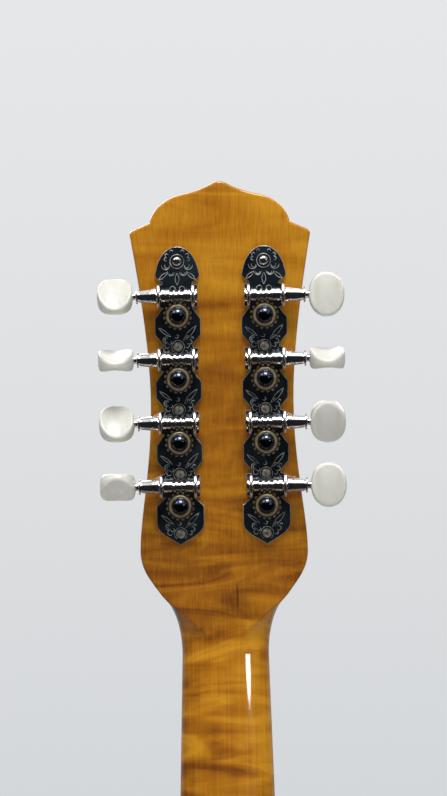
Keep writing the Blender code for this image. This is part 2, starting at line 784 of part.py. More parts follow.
def body_top():
    hole = circle((0, SADDLE_Z), CONE_RADIUS + 0.8 * MM, ROUND_STEPS)
    made = place("body_top", slab([body_outline(), hole], TOP_FACE, TOP_FACE + PLATE_WOOD), AMBER_TOP)
    stems, upper, lower = [], [], []
    for side in (-1, 1):
        middle = JOINT_Z - F_HOLE_BELOW_JOINT
        half = F_HOLE_LENGTH / 2
        line = bezier((-7 * MM, half), (2 * MM, half + 5 * MM), (4 * MM, 8 * MM), (0, 0), 5)
        line += bezier((0, 0), (-4 * MM, -8 * MM), (-2 * MM, -half - 5 * MM), (7 * MM, -half), 5) + [(7 * MM, -half)]
        edge = []
        for sign in (1, -1):
            row = []
            for i, (x, z) in enumerate(line):
                before, after = line[max(i - 1, 0)], line[min(i + 1, len(line) - 1)]
                along = Vector((after[0] - before[0], after[1] - before[1])).normalized()
                width = F_HOLE_WIDTH / 2 * (0.45 + 0.55 * math.sin(math.pi * i / (len(line) - 1)))
                row.append((side * (F_HOLE_X + x - sign * width * along.y), middle + z + sign * width * along.x))
            edge += row if sign == 1 else row[::-1]
        stems.append(slab([edge], TOP_FACE - 2 * MM, TOP_FACE + PLATE_WOOD + 2 * MM))
        for eyes, (x, z) in ((upper, line[0]), (lower, line[-1])):
            centre = (side * (F_HOLE_X + x - math.copysign(1 * MM, x)), middle + z)
            start = (centre[0], TOP_FACE - 2 * MM, centre[1])
            end = (centre[0], TOP_FACE + PLATE_WOOD + 2 * MM, centre[1])
            eyes.append(rod(F_HOLE_EYE, start, end, 12))
    for name, solids in (("f_stems", stems), ("f_upper_eyes", upper), ("f_lower_eyes", lower)):
        boolean(made, cutter(name, joined(*solids)))


def body_back():
    place("body_back", slab([body_outline()], BACK_FACE - PLATE_WOOD, BACK_FACE), AMBER_MAPLE)


def body_sides():
    """One bent strip all round, thickened inwards, with the slot that the neck's tenon passes."""
    front, back = TOP_FACE + PLATE_WOOD + SEAT, BACK_FACE - PLATE_WOOD - SEAT
    work = bmesh.new()
    ring = body_outline()
    rows = [[work.verts.new((x, y, z)) for x, z in ring] for y in (front, back)]
    for i in range(len(ring)):
        j = (i + 1) % len(ring)
        work.faces.new((rows[0][i], rows[0][j], rows[1][j], rows[1][i]))
    bmesh.ops.recalc_face_normals(work, faces=work.faces)
    mesh = bpy.data.meshes.new("body_sides")
    work.to_mesh(mesh)
    work.free()
    made = place("body_sides", mesh, AMBER_MAPLE)
    skin = made.modifiers.new("thickness", "SOLIDIFY")
    skin.thickness = SIDE_WOOD
    skin.offset = -1
    skin.use_even_offset = True
    boolean(made, cutter("tenon_slot", tenon_room()))
    boolean(made, cutter("end_pin_side_hole", end_pin_drill()))


def tenon_room():
    """The space that the neck's tenon takes, with its clearance."""
    return box(
        (-TENON_WIDTH / 2 - SEAT, TENON_START - SEAT, JOINT_Z - TENON_LENGTH - SEAT),
        (TENON_WIDTH / 2 + SEAT, TENON_START + TENON_DEPTH + SEAT, JOINT_Z + 5 * MM),
    )


def end_pin_drill():
    return rod(
        END_PIN_RADIUS + SEAT,
        (0, TOP_FACE + END_PIN_DEPTH, TAIL_Z + 40 * MM),
        (0, TOP_FACE + END_PIN_DEPTH, TAIL_Z - 8 * MM),
        12,
    )


def neck_block():
    front, back = TOP_FACE + PLATE_WOOD + SEAT, BACK_FACE - PLATE_WOOD - SEAT
    top = JOINT_Z - SIDE_WOOD - SEAT
    made = place(
        "neck_block",
        box((-NECK_BLOCK_HALF, front, top - NECK_BLOCK_LENGTH), (NECK_BLOCK_HALF, back, top)),
        PLAIN_WOOD,
    )
    boolean(made, cutter("mortise", tenon_room()))


def tail_block():
    """A block whose lower face follows the bent sides."""
    front, back = TOP_FACE + PLATE_WOOD + SEAT, BACK_FACE - PLATE_WOOD - SEAT
    inside = [(x, z) for x, z in body_outline(SIDE_WOOD + SEAT) if z < SADDLE_Z and abs(x) < TAIL_BLOCK_HALF]
    inside.sort()
    top = TAIL_Z + SIDE_WOOD + TAIL_BLOCK_LENGTH
    outline = [(inside[-1][0], top), (inside[0][0], top)] + inside
    made = place("tail_block", slab([outline], front, back), PLAIN_WOOD)
    boolean(made, cutter("end_pin_block_hole", end_pin_drill()))


def tailpiece_line():
    """(y, z) of the tailpiece's outer face, from the string end over the edge and down the tail."""
    arm = TOP_FACE - SEAT - TAILPIECE_METAL
    return [
        (arm - 2.2 * MM, TAIL_Z + TAILPIECE_REACH),
        (arm - 1.8 * MM, TAIL_Z + TAILPIECE_REACH - 14 * MM),
        (arm, TAIL_Z + TAILPIECE_REACH - 22 * MM),
        (arm, TAIL_Z - SEAT),
        (arm + 0.4 * MM, TAIL_Z - SEAT - TAILPIECE_METAL),
        (TOP_FACE + TAILPIECE_DROP, TAIL_Z - SEAT - TAILPIECE_METAL),
    ]


def tailpiece():
    """One bent strip of plated steel with a peg for each string's loop."""
    outer = tailpiece_line()
    inner = [(y + TAILPIECE_METAL, z) for y, z in outer[:3]]
    inner += [(outer[3][0] + TAILPIECE_METAL, TAIL_Z - SEAT), (outer[-1][0], TAIL_Z - SEAT)]
    strip = slab([outer + inner[::-1]], -TAILPIECE_HALF, TAILPIECE_HALF)
    for point in strip.vertices:
        depth, across, z = point.co
        point.co = (across, depth, z)
    weld(strip)
    hook_z = TAIL_Z + TAILPIECE_REACH - HOOK_SETBACK
    face = outer[0][0] + 0.2 * MM
    hooks = []
    for index in range(8):
        x = string_x(index, TAIL_SPREAD, TAIL_PAIR_GAP)
        hooks.append(rod(HOOK_RADIUS, (x, face + 0.8 * MM, hook_z), (x, face - HOOK_HEIGHT, hook_z), 8))
    made = place("tailpiece", united(strip, joined(*hooks)), NICKEL)
    boolean(made, cutter("end_pin_plate_hole", end_pin_drill()))


def end_pin():
    """The strap button, turned, with its shank in the tail block."""
    seat = -SEAT - TAILPIECE_METAL - SEAT
    profile = [
        (0, TAIL_BLOCK_LENGTH),
        (END_PIN_RADIUS, TAIL_BLOCK_LENGTH - 2 * MM),
        (END_PIN_RADIUS, seat),
        (END_PIN_KNOB, seat),
        (END_PIN_KNOB - 0.8 * MM, seat - 1.8 * MM),
        (4 * MM, seat - 3.6 * MM),
        (4 * MM, seat - 7.5 * MM),
        (END_PIN_KNOB - 0.6 * MM, seat - 9 * MM),
        (END_PIN_KNOB - 0.6 * MM, seat - 11 * MM),
        (END_PIN_KNOB - 1.4 * MM, seat - 12 * MM),
        (0, seat - 12 * MM),
    ]
    made = turned("strap_button", profile, 16)
    stand = Matrix.Translation((0, TOP_FACE + END_PIN_DEPTH, TAIL_Z)) @ Matrix.Rotation(math.pi / 2, 4, "X")
    place("strap_button", moved(made, stand), NICKEL)


def tuner_plate_half():
    """Half the outline of a strip as (x, height): a leaf at its top, lobes, and a shield at its foot."""
    rows = [FIRST_POST + TUNER_PITCH * row for row in reversed(range(4))]
    ear = EAR_OUTER + EAR_THICKNESS
    top = rows[0]
    half = bezier((0, top + 24.8 * MM), (3 * MM, top + 22.8 * MM), (PLATE_LEAF_HALF, top + 20.5 * MM), (PLATE_LEAF_HALF, top + 16.2 * MM), 5)
    half += bezier(
        (PLATE_LEAF_HALF, top + 16.2 * MM), (PLATE_LEAF_HALF, top + 14 * MM), (6.6 * MM, top + 12.9 * MM), (PLATE_NECK_HALF, top + 12.2 * MM), 3
    )
    for row, z in enumerate(rows):
        half += [
            (PLATE_NECK_HALF, z + GEAR_DISTANCE + EAR_HALF + 0.4 * MM),
            (ear, z + GEAR_DISTANCE + EAR_HALF),
            (ear, z + GEAR_DISTANCE - EAR_HALF),
            (PLATE_NECK_HALF, z + GEAR_DISTANCE - EAR_HALF - 0.6 * MM),
        ]
        if row < 3:
            half += [(PLATE_LOBE_HALF, z - 1.0 * MM), (PLATE_LOBE_HALF, z - 7.1 * MM), (PLATE_NECK_HALF, z - 10.6 * MM)]
        else:
            half += [(PLATE_SHIELD_HALF, z + 0.2 * MM)]
            half += bezier(
                (PLATE_SHIELD_HALF, z - 6.4 * MM),
                (PLATE_SHIELD_HALF, z - 10.5 * MM),
                (3.5 * MM, z - 12.0 * MM),
                (0, z - 14.6 * MM),
                4,
            )
            half.append((0, z - 14.6 * MM))
    return half


def tuner_plate(name, side, frame):
    """A pressed strip under four tuners: post holes, and an ear bent up at each end of each worm."""
    x = side * POST_SPREAD / 2
    rows = [FIRST_POST + TUNER_PITCH * row for row in range(4)]
    outline = [(x + u, z) for u, z in mirrored(tuner_plate_half())]
    holes = [circle((x, z), POST_HOLE, POST_SIDES) for z in rows]
    sheet = slab([outline] + holes, HEADSTOCK_DEPTH + SEAT, PLATE_BACK)
    ears = []
    for z in rows:
        centre = (WORM_AXIS, z + GEAR_DISTANCE)
        foot = PLATE_BACK - 0.4 * MM
        arch = [(centre[0] + EAR_HALF * math.sin(a), centre[1] + EAR_HALF * math.cos(a)) for a in np.linspace(0, math.pi, 6)]
        shape = [(foot, centre[1] + EAR_HALF)] + arch + [(foot, centre[1] - EAR_HALF)]
        bore = circle(centre, JOURNAL_RADIUS + SEAT, 6)
        for near in (-EAR_INNER - EAR_THICKNESS, EAR_OUTER):
            u = side * near if side > 0 else side * (near + EAR_THICKNESS)
            ear = slab([shape, bore], x + u, x + u + EAR_THICKNESS)
            for point in ear.vertices:
                depth, across, z_local = point.co
                point.co = (across, depth, z_local)
            weld(ear)
            ears.append(ear)
    place(name, united(sheet, joined(*ears)), NICKEL, frame)


def thread_radius(x, angle):
    """The worm's surface: a left-hand thread between its root and its crest."""
    wave = math.cos(TURN * (x / THREAD_PITCH) + angle)
    return (WORM_CREST + WORM_ROOT) / 2 + (WORM_CREST - WORM_ROOT) / 2 * wave


def shaft_mesh():
    """One worm shaft along +X, with its gear's axis at X = 0 and the gear on its -Z side."""
    barrel = WORM_CREST - 0.05 * MM
    inner, outer = EAR_INNER, EAR_OUTER
    wall = EAR_THICKNESS
    ahead = [
        (-inner - wall - 1.4 * MM, barrel - 0.5 * MM),
        (-inner - wall - 1.0 * MM, barrel + 0.05 * MM),
        (-inner - wall - SEAT, barrel + 0.05 * MM),
        (-inner - wall - SEAT, JOURNAL_RADIUS),
        (-inner + SEAT, JOURNAL_RADIUS),
        (-inner + SEAT, barrel),
    ]
    behind = [
        (outer - SEAT, barrel),
        (outer - SEAT, JOURNAL_RADIUS),
        (outer + wall + SEAT, JOURNAL_RADIUS),
        (outer + wall + SEAT, 2.5 * MM),
        (outer + wall + 1.1 * MM, 2.5 * MM),
        (outer + wall + 1.1 * MM, 2.1 * MM),
        (outer + wall + 2.1 * MM, 2.3 * MM),
        (SHAFT_FLANGE - 1.7 * MM, 1.95 * MM),
        (SHAFT_FLANGE - 1.7 * MM, 2.9 * MM),
        (SHAFT_FLANGE, 2.9 * MM),
        (SHAFT_FLANGE, TENON_RADIUS),
        (SHAFT_FLANGE + 0.62 * BUTTON_WIDTH, TENON_RADIUS),
    ]
    reach = 1.5 * THREAD_PITCH
    threads = [(-reach + THREAD_PITCH * k / 4, None) for k in range(13)]
    threads[0] = (threads[0][0], barrel)
    threads[-1] = (threads[-1][0], barrel)
    rings = []
    for x, radius in ahead + threads + behind:
        ring = []
        for k in range(WORM_SIDES):
            angle = TURN * k / WORM_SIDES
            r = thread_radius(x, angle) if radius is None else radius
            ring.append((x, r * math.sin(angle), -r * math.cos(angle)))
        rings.append(ring)
    return loft(rings)


def gear_mesh():
    """A bronze wheel about Y with teeth slanted to the worm's lead, a bore and a raised collar."""
    lead = THREAD_PITCH / (TURN * (WORM_CREST + WORM_ROOT) / 2)
    twist = lead * (GEAR_THICKNESS / 2) / PITCH_CIRCLE
    rings = []
    for sign in (-1, 1):
        ring = []
        for tooth in range(GEAR_TEETH):
            middle = TURN * (tooth + 0.5) / GEAR_TEETH - sign * twist
            for radius, width in ((GEAR_ROOT, -0.5), (GEAR_TIP, -0.14), (GEAR_TIP, 0.14)):
                angle = middle + width * TURN / GEAR_TEETH
                y = sign * GEAR_THICKNESS / 2
                ring.append((radius * math.sin(angle), y, radius * math.cos(angle)))
        rings.append(ring)
    half = GEAR_THICKNESS / 2
    collar_outer = SCREW_HEAD_RADIUS + 0.9 * MM
    collar = [
        (collar_outer, half - 0.5 * MM),
        (collar_outer, half + 0.5 * MM),
        (SCREW_HEAD_RADIUS + SEAT, half + 0.5 * MM),
        (SCREW_HEAD_RADIUS + SEAT, half - 0.5 * MM),
    ]
    wheel = united(loft(rings), turned("collar", collar[::-1], 10, closed=True))
    part = place("gear_blank", wheel, BRONZE)
    drill = cutter("gear_bore", rod(STUD_RADIUS + SEAT, (0, -half - MM, 0), (0, half + MM, 0), 8))
    boolean(part, drill)
    made = applied(part)
    bpy.data.objects.remove(drill)
    return made


def post_mesh():
    """A post about Y, with the screw that holds its gear: head at the back, string hole at the front."""
    gear_front = WORM_AXIS - GEAR_THICKNESS / 2 - SEAT
    gear_back = WORM_AXIS + GEAR_THICKNESS / 2 + SEAT
    profile = [
        (0, gear_back + SCREW_HEAD_HEIGHT),
        (1.7 * MM, gear_back + 0.85 * SCREW_HEAD_HEIGHT),
        (SCREW_HEAD_RADIUS - 0.3 * MM, gear_back + 0.45 * SCREW_HEAD_HEIGHT),
        (SCREW_HEAD_RADIUS, gear_back),
        (STUD_RADIUS, gear_back),
        (STUD_RADIUS, gear_front),
        (POST_RADIUS, gear_front),
        (POST_RADIUS, 1 * MM - POST_STAND),
        (POST_RADIUS - 0.8 * MM, -POST_STAND),
        (0, -POST_STAND),
    ]
    part = place("post_blank", turned("post", profile, POST_SIDES), NICKEL)
    y = -POST_STAND + 2.4 * MM
    drill = cutter("string_hole", rod(0.75 * MM, (-6 * MM, y, 0), (6 * MM, y, 0), 6))
    boolean(part, drill)
    made = applied(part)
    bpy.data.objects.remove(drill)
    return made


def button_mesh():
    """An oval knob on +X with both faces hollowed along the shaft, pressed from a sphere."""
    work = bmesh.new()
    bmesh.ops.create_uvsphere(work, u_segments=14, v_segments=7, radius=1)
    for point in work.verts:
        u, v, w = point.co
        ring = math.hypot(u, v)
        spread = ring**0.7 / ring if ring > 1e-6 else 0
        x, z = u * spread * BUTTON_WIDTH / 2, v * spread * BUTTON_LENGTH / 2
        thick = BUTTON_MIDDLE + (BUTTON_END - BUTTON_MIDDLE) * min(1, abs(x) / (BUTTON_WIDTH / 2)) ** 2
        y = math.copysign(min(1, 1.35 * abs(w) ** 0.8), w) * thick / 2 if abs(w) > 1e-6 else 0
        point.co = (SHAFT_FLANGE + SEAT + BUTTON_WIDTH / 2 + x, y, z)
    made = bpy.data.meshes.new("button")
    work.to_mesh(made)
    work.free()
    part = place("button_blank", made, IVORY_PLASTIC)
    start = SHAFT_FLANGE - MM
    end = SHAFT_FLANGE + 0.62 * BUTTON_WIDTH + SEAT
    drill = cutter("button_bore", rod(TENON_RADIUS + SEAT, (start, 0, 0), (end, 0, 0), 8))
    boolean(part, drill)
    made = applied(part)
    bpy.data.objects.remove(drill)
    return made


BUTTON_REST = {"e1": -57, "e2": 45, "a1": 75, "a2": 45, "g1": 0, "g2": -20, "d1": 75, "d2": 5}


def tuners(frame):
    shaft, gear, post, button = shaft_mesh(), gear_mesh(), post_mesh(), button_mesh()
    for side, course, member, x, height, row in post_places():
        name = f"{course}{member}"
        outward = 0 if side > 0 else math.pi
        axle = bpy.data.objects.new(f"{name}_worm_axis", None)
        PARTS.objects.link(axle)
        axle.parent = frame
        axle.location = (x, WORM_AXIS, height + GEAR_DISTANCE)
        axle.rotation_euler = (0, 0, outward)
        place(f"tuner_{name}_shaft", shaft.copy(), CHROME, axle)
        turn = math.radians(BUTTON_REST[name]) * side
        place(f"tuner_{name}_button", button.copy(), IVORY_PLASTIC, axle, rotation=(turn, 0, 0))
        place(f"tuner_{name}_gear", gear.copy(), BRONZE, frame, (x, WORM_AXIS, height))
        place(f"tuner_{name}_post", post.copy(), NICKEL, frame, (x, 0, height))


def winding(side, course, x, height, row):
    """Headstock-frame points from where a string meets its post to the end of its turns."""
    radius = STRING_RADIUS[course]
    reach = (POST_RADIUS + SEAT + radius) / math.cos(math.pi / WINDING_POINTS)
    rise = 2 * radius + WINDING_GAP
    start = {0: 3.6, 1: 8.8, 2: 5.2, 3: 5.2}[row] * MM
    points = []
    for k in range(round(WINDING_TURNS[course] * WINDING_POINTS) + 3):
        angle = TURN * k / WINDING_POINTS
        depth = -start - rise * k / WINDING_POINTS
        points.append((x - side * reach * math.cos(angle), depth, height + reach * math.sin(angle)))
    return points, rise - 2 * radius


def least_gap(points, radius):
    """The smallest space between turns, from points at least half a turn apart."""
    path = np.array(points)
    away = np.linalg.norm(path[:, None] - path[None], axis=2)
    apart = np.abs(np.subtract.outer(np.arange(len(path)), np.arange(len(path)))) >= WINDING_POINTS // 2
    return away[apart].min() - 2 * radius


def strings(frame):
    """Each string as one piece: tailpiece peg, saddle, nut, and its turns round the post."""
    tilt = Matrix.Rotation(-HEADSTOCK_PITCH, 4, "X")
    hook_z = TAIL_Z + TAILPIECE_REACH - HOOK_SETBACK
    hook_y = tailpiece_line()[0][0] - HOOK_HEIGHT / 2
    order = {"g": 0, "d": 2, "a": 4, "e": 6}
    for side, course, member, x, height, row in post_places():
        outer_first = member if side < 0 else 3 - member
        index = order[course] + outer_first - 1
        radius = STRING_RADIUS[course]
        saddle_x = string_x(index, SADDLE_SPREAD, SADDLE_PAIR_GAP)
        nut_x = string_x(index, NUT_SPREAD, NUT_PAIR_GAP)
        tail_x = string_x(index, TAIL_SPREAD, TAIL_PAIR_GAP)
        path = [
            Vector((tail_x, hook_y, hook_z + HOOK_RADIUS + SEAT)),
            Vector((saddle_x, SADDLE_TOP - radius, SADDLE_Z)),
            Vector((nut_x, NUT_STRING - radius, -NUT_LENGTH)),
            Vector((nut_x, NUT_STRING - radius + 0.1 * MM, -1 * MM)),
        ]
        turns, gap = winding(side, course, x, height, row)
        print(f"string_{course}{member}: least gap between turns {least_gap(turns, radius) / MM:.2f} mm")
        path += [tilt @ Vector(point) for point in turns]
        curve = bpy.data.curves.new(f"string_{course}{member}", "CURVE")
        curve.dimensions = "3D"
        curve.bevel_depth = radius
        curve.bevel_resolution = 1
        curve.use_fill_caps = True
        spline = curve.splines.new("POLY")
        spline.points.add(len(path) - 1)
        for point, where in zip(spline.points, path):
            point.co = (*where, 1)
        wire = bpy.data.objects.new(f"string_{course}{member}", curve)
        PARTS.objects.link(wire)
        curve.materials.append(WOUND_STRING if course in "gd" else STEEL_STRING)


def build():
    frame = headstock_frame()
    neck(frame)
    neck_bar()
    headstock_overlay(frame)
    nut()
    fingerboard()
    body_top()
    body_back()
    body_sides()
    neck_block()
    tail_block()
    soundwell()
    cone()
    biscuit()
    saddle()
    coverplate()
    handrest()
    tailpiece()
    end_pin()
    tuner_plate("tuner_plate_treble", 1, frame)
    tuner_plate("tuner_plate_bass", -1, frame)
    tuners(frame)
    strings(frame)


build()
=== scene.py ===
import math

import bmesh
import bpy
from mathutils import Matrix, Vector


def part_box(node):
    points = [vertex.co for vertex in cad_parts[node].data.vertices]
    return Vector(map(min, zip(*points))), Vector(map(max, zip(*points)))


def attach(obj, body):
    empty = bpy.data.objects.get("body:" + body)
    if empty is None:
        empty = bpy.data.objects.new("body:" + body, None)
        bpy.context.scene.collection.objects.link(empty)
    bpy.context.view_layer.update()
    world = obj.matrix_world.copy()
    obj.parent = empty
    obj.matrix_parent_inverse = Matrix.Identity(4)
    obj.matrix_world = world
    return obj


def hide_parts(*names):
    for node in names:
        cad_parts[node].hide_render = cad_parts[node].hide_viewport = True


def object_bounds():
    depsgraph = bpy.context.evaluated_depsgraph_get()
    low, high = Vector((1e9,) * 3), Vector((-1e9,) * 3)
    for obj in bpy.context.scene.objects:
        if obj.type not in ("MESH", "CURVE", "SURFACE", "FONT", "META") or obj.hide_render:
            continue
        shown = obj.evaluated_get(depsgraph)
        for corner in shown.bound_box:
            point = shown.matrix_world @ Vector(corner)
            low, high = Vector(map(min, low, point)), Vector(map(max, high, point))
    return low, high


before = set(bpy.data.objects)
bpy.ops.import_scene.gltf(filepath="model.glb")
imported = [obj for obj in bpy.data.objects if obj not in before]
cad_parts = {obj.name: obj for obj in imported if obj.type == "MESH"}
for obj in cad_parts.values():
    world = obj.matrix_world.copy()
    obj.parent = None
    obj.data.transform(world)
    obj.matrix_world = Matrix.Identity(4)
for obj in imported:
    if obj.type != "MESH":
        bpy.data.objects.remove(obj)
cad_low, cad_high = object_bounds()
scene = bpy.context.scene
scene.view_settings.view_transform = "Standard"
MM = 0.001


# The camera stands behind the headstock and a little below it, about 1.2 m away, looking up.
# Its long lens shows the headstock and the top of the neck, leaning a little to the left.
viewpoint = bpy.data.objects.new("viewpoint", bpy.data.cameras.new("viewpoint"))
scene.collection.objects.link(viewpoint)
viewpoint.data.sensor_fit = "VERTICAL"
viewpoint.data.sensor_height = 36
viewpoint.data.lens = 150.1
viewpoint.data.clip_start = 0.05
lean = Matrix.Rotation(math.radians(-0.8), 4, "Z")
facing = Matrix.Rotation(math.pi, 4, "Z") @ Matrix.Rotation(math.radians(101), 4, "X")
viewpoint.matrix_world = Matrix.Translation((-0.0005, 1.2169, -0.1552)) @ facing @ lean
scene.camera = viewpoint


class Wire:
    """A shader socket with arithmetic: each operator adds one Math node to its tree."""

    def __init__(self, tree, socket=None):
        self.tree = tree
        self.socket = socket

    def node(self, kind, settings=None, sockets=None, output=0):
        made = self.tree.nodes.new("ShaderNode" + kind)
        for name, value in (settings or {}).items():
            if name == "stops":
                self.set_stops(made.color_ramp.elements, value)
            else:
                setattr(made, name, value)
        for name, value in (sockets or {}).items():
            self.feed(made.inputs[name], value)
        return Wire(self.tree, made.outputs[output])

    def set_stops(self, elements, stops):
        while len(elements) < len(stops):
            elements.new(0.5)
        for element, (place, value) in zip(elements, stops):
            element.position = place
            element.color = value if hasattr(value, "__len__") else (value, value, value, 1)

    def feed(self, socket, value):
        if isinstance(value, Wire):
            self.tree.links.new(value.socket, socket)
        else:
            socket.default_value = value

    def math(self, operation, *others):
        values = dict(enumerate((self, *others)))
        return self.node("Math", {"operation": operation}, values)

    def clamped(self):
        return self.math("MAXIMUM", 0.0).math("MINIMUM", 1.0)

    def __add__(self, other):
        return self.math("ADD", other)

    def __mul__(self, other):
        return self.math("MULTIPLY", other)

    def __sub__(self, other):
        return self.math("SUBTRACT", other)

    def __rsub__(self, other):
        return self.node("Math", {"operation": "SUBTRACT"}, {0: other, 1: self})

    def __truediv__(self, other):
        return self.math("DIVIDE", other)

    def __pow__(self, other):
        return self.math("POWER", other)

    __radd__ = __add__
    __rmul__ = __mul__


# The floor and the backdrop: a pale studio sweep, a little darker towards its foot.
# Polished metal sees it behind, a bright ceiling above, and darkness on the camera's side, where the floor is painted
# dark for reflections.
world = bpy.data.worlds.new("studio")
scene.world = world
world.use_nodes = True
air = Wire(world.node_tree)
sky = world.node_tree.nodes["Background"]
direction = air.node("TexCoord")
height = air.node("SeparateXYZ", None, {"Vector": direction}, 2)
towards_camera = air.node("SeparateXYZ", None, {"Vector": direction}, 1)
pale = air.node(
    "ValToRGB",
    {"stops": [(0.0, (0.66, 0.68, 0.70, 1)), (0.5, (0.735, 0.745, 0.76, 1)), (1.0, (0.79, 0.80, 0.815, 1))]},
    {0: height * 4.3 - 0.31},
)
paths = world.node_tree.nodes.new("ShaderNodeLightPath")
seen = Wire(world.node_tree, paths.outputs["Is Camera Ray"])
mirrored = Wire(world.node_tree, paths.outputs["Is Glossy Ray"])
through = Wire(world.node_tree, paths.outputs["Is Transmission Ray"])
ceiling = ((height - 0.26) * 5.0).clamped()
backdrop = ((-0.35 - towards_camera) * 3.0).clamped()
reflected = ceiling.math("MAXIMUM", backdrop * 0.4).math("MAXIMUM", 0.025)
glow = seen + through * 0.9 + mirrored * reflected + 0.34 * (1 - seen - mirrored - through)
air.feed(sky.inputs["Color"], pale)
air.feed(sky.inputs["Strength"], glow)

floor_data = bpy.data.meshes.new("floor")
floor_z = cad_low.z - 0.4 * MM
reach = 5.0
corners = [(-reach, -reach, floor_z), (reach, -reach, floor_z), (reach, reach, floor_z), (-reach, reach, floor_z)]
floor_data.from_pydata(corners, [], [(0, 1, 2, 3)])
floor = bpy.data.objects.new("floor", floor_data)
scene.collection.objects.link(floor)
floor_paint = bpy.data.materials.new("pale_floor")
floor_paint.use_nodes = True
paint = Wire(floor_paint.node_tree)
cloud = paint.node("TexNoise", None, {"Scale": 3.0, "Detail": 3.0})
floor_shader = floor_paint.node_tree.nodes["Principled BSDF"]
floor_tone = paint.node("ValToRGB", {"stops": [(0.3, (0.70, 0.71, 0.73, 1)), (0.7, (0.73, 0.74, 0.76, 1))]}, {0: cloud})
paint.feed(floor_shader.inputs["Base Color"], floor_tone)
floor_shader.inputs["Roughness"].default_value = 0.7
place_on_floor = paint.node("TexCoord", output=3)
nearness = paint.node("SeparateXYZ", None, {"Vector": place_on_floor}, 1)
camera_side = ((nearness + 0.05) * 5.0).clamped()
# Painted dark reflection: in polished metal the floor shows as a dim emitting sheet instead of its lit paint, fully on
# the camera's side.
in_mirror = Wire(floor_paint.node_tree, floor_paint.node_tree.nodes.new("ShaderNodeLightPath").outputs["Is Glossy Ray"])
mirror_dark_paint = paint.node("Emission", None, {"Color": (0.5, 0.55, 0.6, 1), "Strength": 0.03})
lit = Wire(floor_paint.node_tree, floor_shader.outputs[0])
floor_mix = paint.node("MixShader", None, {0: in_mirror * (0.75 + 0.25 * camera_side), 1: lit, 2: mirror_dark_paint})
paint.feed(floor_paint.node_tree.nodes["Material Output"].inputs["Surface"], floor_mix)
floor_data.materials.append(floor_paint)

# Soft boxes: a narrow strip on the right of the picture, a broad box above, a small one high on the left,
# and two high in front. Each is an area lamp that polished metal and lacquer also see as a bright panel.
for name, shape, place, size, power in (
    ("key_strip", "ELLIPSE", (-0.94, 0.98, 0.172), 0.26, 1.1),
    ("top_box", "SQUARE", (-0.10, 0.90, 1.15), 0.65, 19.0),
    ("left_box", "SQUARE", (0.95, 0.80, 1.05), 0.5, 4.0),
    ("front_box", "SQUARE", (0.7, -1.3, 1.25), 1.2, 20.0),
    ("front_fill", "SQUARE", (-1.0, -1.2, 1.05), 0.9, 8.0),
):
    lamp = bpy.data.lights.new(name, "AREA")
    lamp.shape = shape
    lamp.size = size
    lamp.size_y = 0.23 * size
    lamp.energy = power
    box_light = bpy.data.objects.new(name, lamp)
    scene.collection.objects.link(box_light)
    towards = Vector((0, 0.02, 0.02)) - Vector(place)
    box_light.matrix_world = Matrix.Translation(place) @ towards.to_track_quat("-Z", "Y").to_matrix().to_4x4()


# Neck and headstock: one piece of flamed maple, sawn and carved, under thick amber lacquer.
# The flame runs across the grain in soft bands, with one short mineral streak above the neck.
maple = bpy.data.materials.new("flamed_maple")
maple.use_nodes = True
wood = Wire(maple.node_tree)
spot = wood.node("TexCoord", output=3)
up_neck = wood.node("SeparateXYZ", None, {"Vector": spot}, 2)
fine = wood.node("Mapping", None, {"Vector": spot, "Scale": (1700, 500, 24)})
grain = wood.node("TexNoise", None, {"Vector": fine, "Scale": 1.0, "Detail": 5.0, "Roughness": 0.7})
wide = wood.node("Mapping", None, {"Vector": spot, "Scale": (24, 24, 120), "Rotation": (0, 0.12, 0)})
flame = wood.node("TexNoise", None, {"Vector": wide, "Scale": 1.0, "Detail": 3.0, "Distortion": 1.1})
broad = wood.node("TexNoise", None, {"Vector": spot, "Scale": 22.0, "Detail": 3.0, "Distortion": 0.6})
curly = ((0.075 - up_neck) * 14.0).clamped() * 0.55 + 0.45
tone = 0.5 + (grain - 0.5) * 0.5 + (flame - 0.5) * 1.35 * curly + (broad - 0.5) * 0.75
# Painted light: the wood is drawn lighter towards the headstock's top, where the lamp above falls most.
tone = tone + ((up_neck - 0.02) * 1.1).math("MINIMUM", 0.12).math("MAXIMUM", 0.0)
amber = wood.node(
    "ValToRGB",
    {
        "stops": [
            (0.22, (0.170, 0.046, 0.003, 1)),
            (0.40, (0.315, 0.104, 0.004, 1)),
            (0.56, (0.445, 0.168, 0.006, 1)),
            (0.76, (0.600, 0.270, 0.014, 1)),
        ]
    },
    {0: tone},
)
streak_x = (wood.node("SeparateXYZ", None, {"Vector": spot}, 0) + 4.6 * MM) / (0.36 * MM)
streak_z = (up_neck - 4.6 * MM) / (4.6 * MM)
streak = (0 - streak_x * streak_x - streak_z * streak_z * streak_z * streak_z).math("EXPONENT")
stained = wood.node("Mix", {"data_type": "RGBA"}, {0: streak * 0.85, 6: amber, 7: (0.055, 0.020, 0.005, 1)}, 2)
maple_shader = maple.node_tree.nodes["Principled BSDF"]
wood.feed(maple_shader.inputs["Base Color"], stained)
wood.feed(maple_shader.inputs["Roughness"], 0.36 + 0.12 * flame)
maple_shader.inputs["Specular IOR Level"].default_value = 0.15
maple_shader.inputs["Coat Weight"].default_value = 0.9
maple_shader.inputs["Coat Roughness"].default_value = 0.04
ripple = wood.node("Bump", None, {"Strength": 0.05, "Distance": 0.0002, "Height": grain})
wood.feed(maple_shader.inputs["Normal"], ripple)


def bezier(start, first, second, end, steps):
    points = []
    for k in range(steps):
        t = k / steps
        weights = ((1 - t) ** 3, 3 * t * (1 - t) ** 2, 3 * t * t * (1 - t), t**3)
        corners = (start, first, second, end)
        points.append(tuple(sum(w * corner[i] for w, corner in zip(weights, corners)) for i in (0, 1)))
    return points


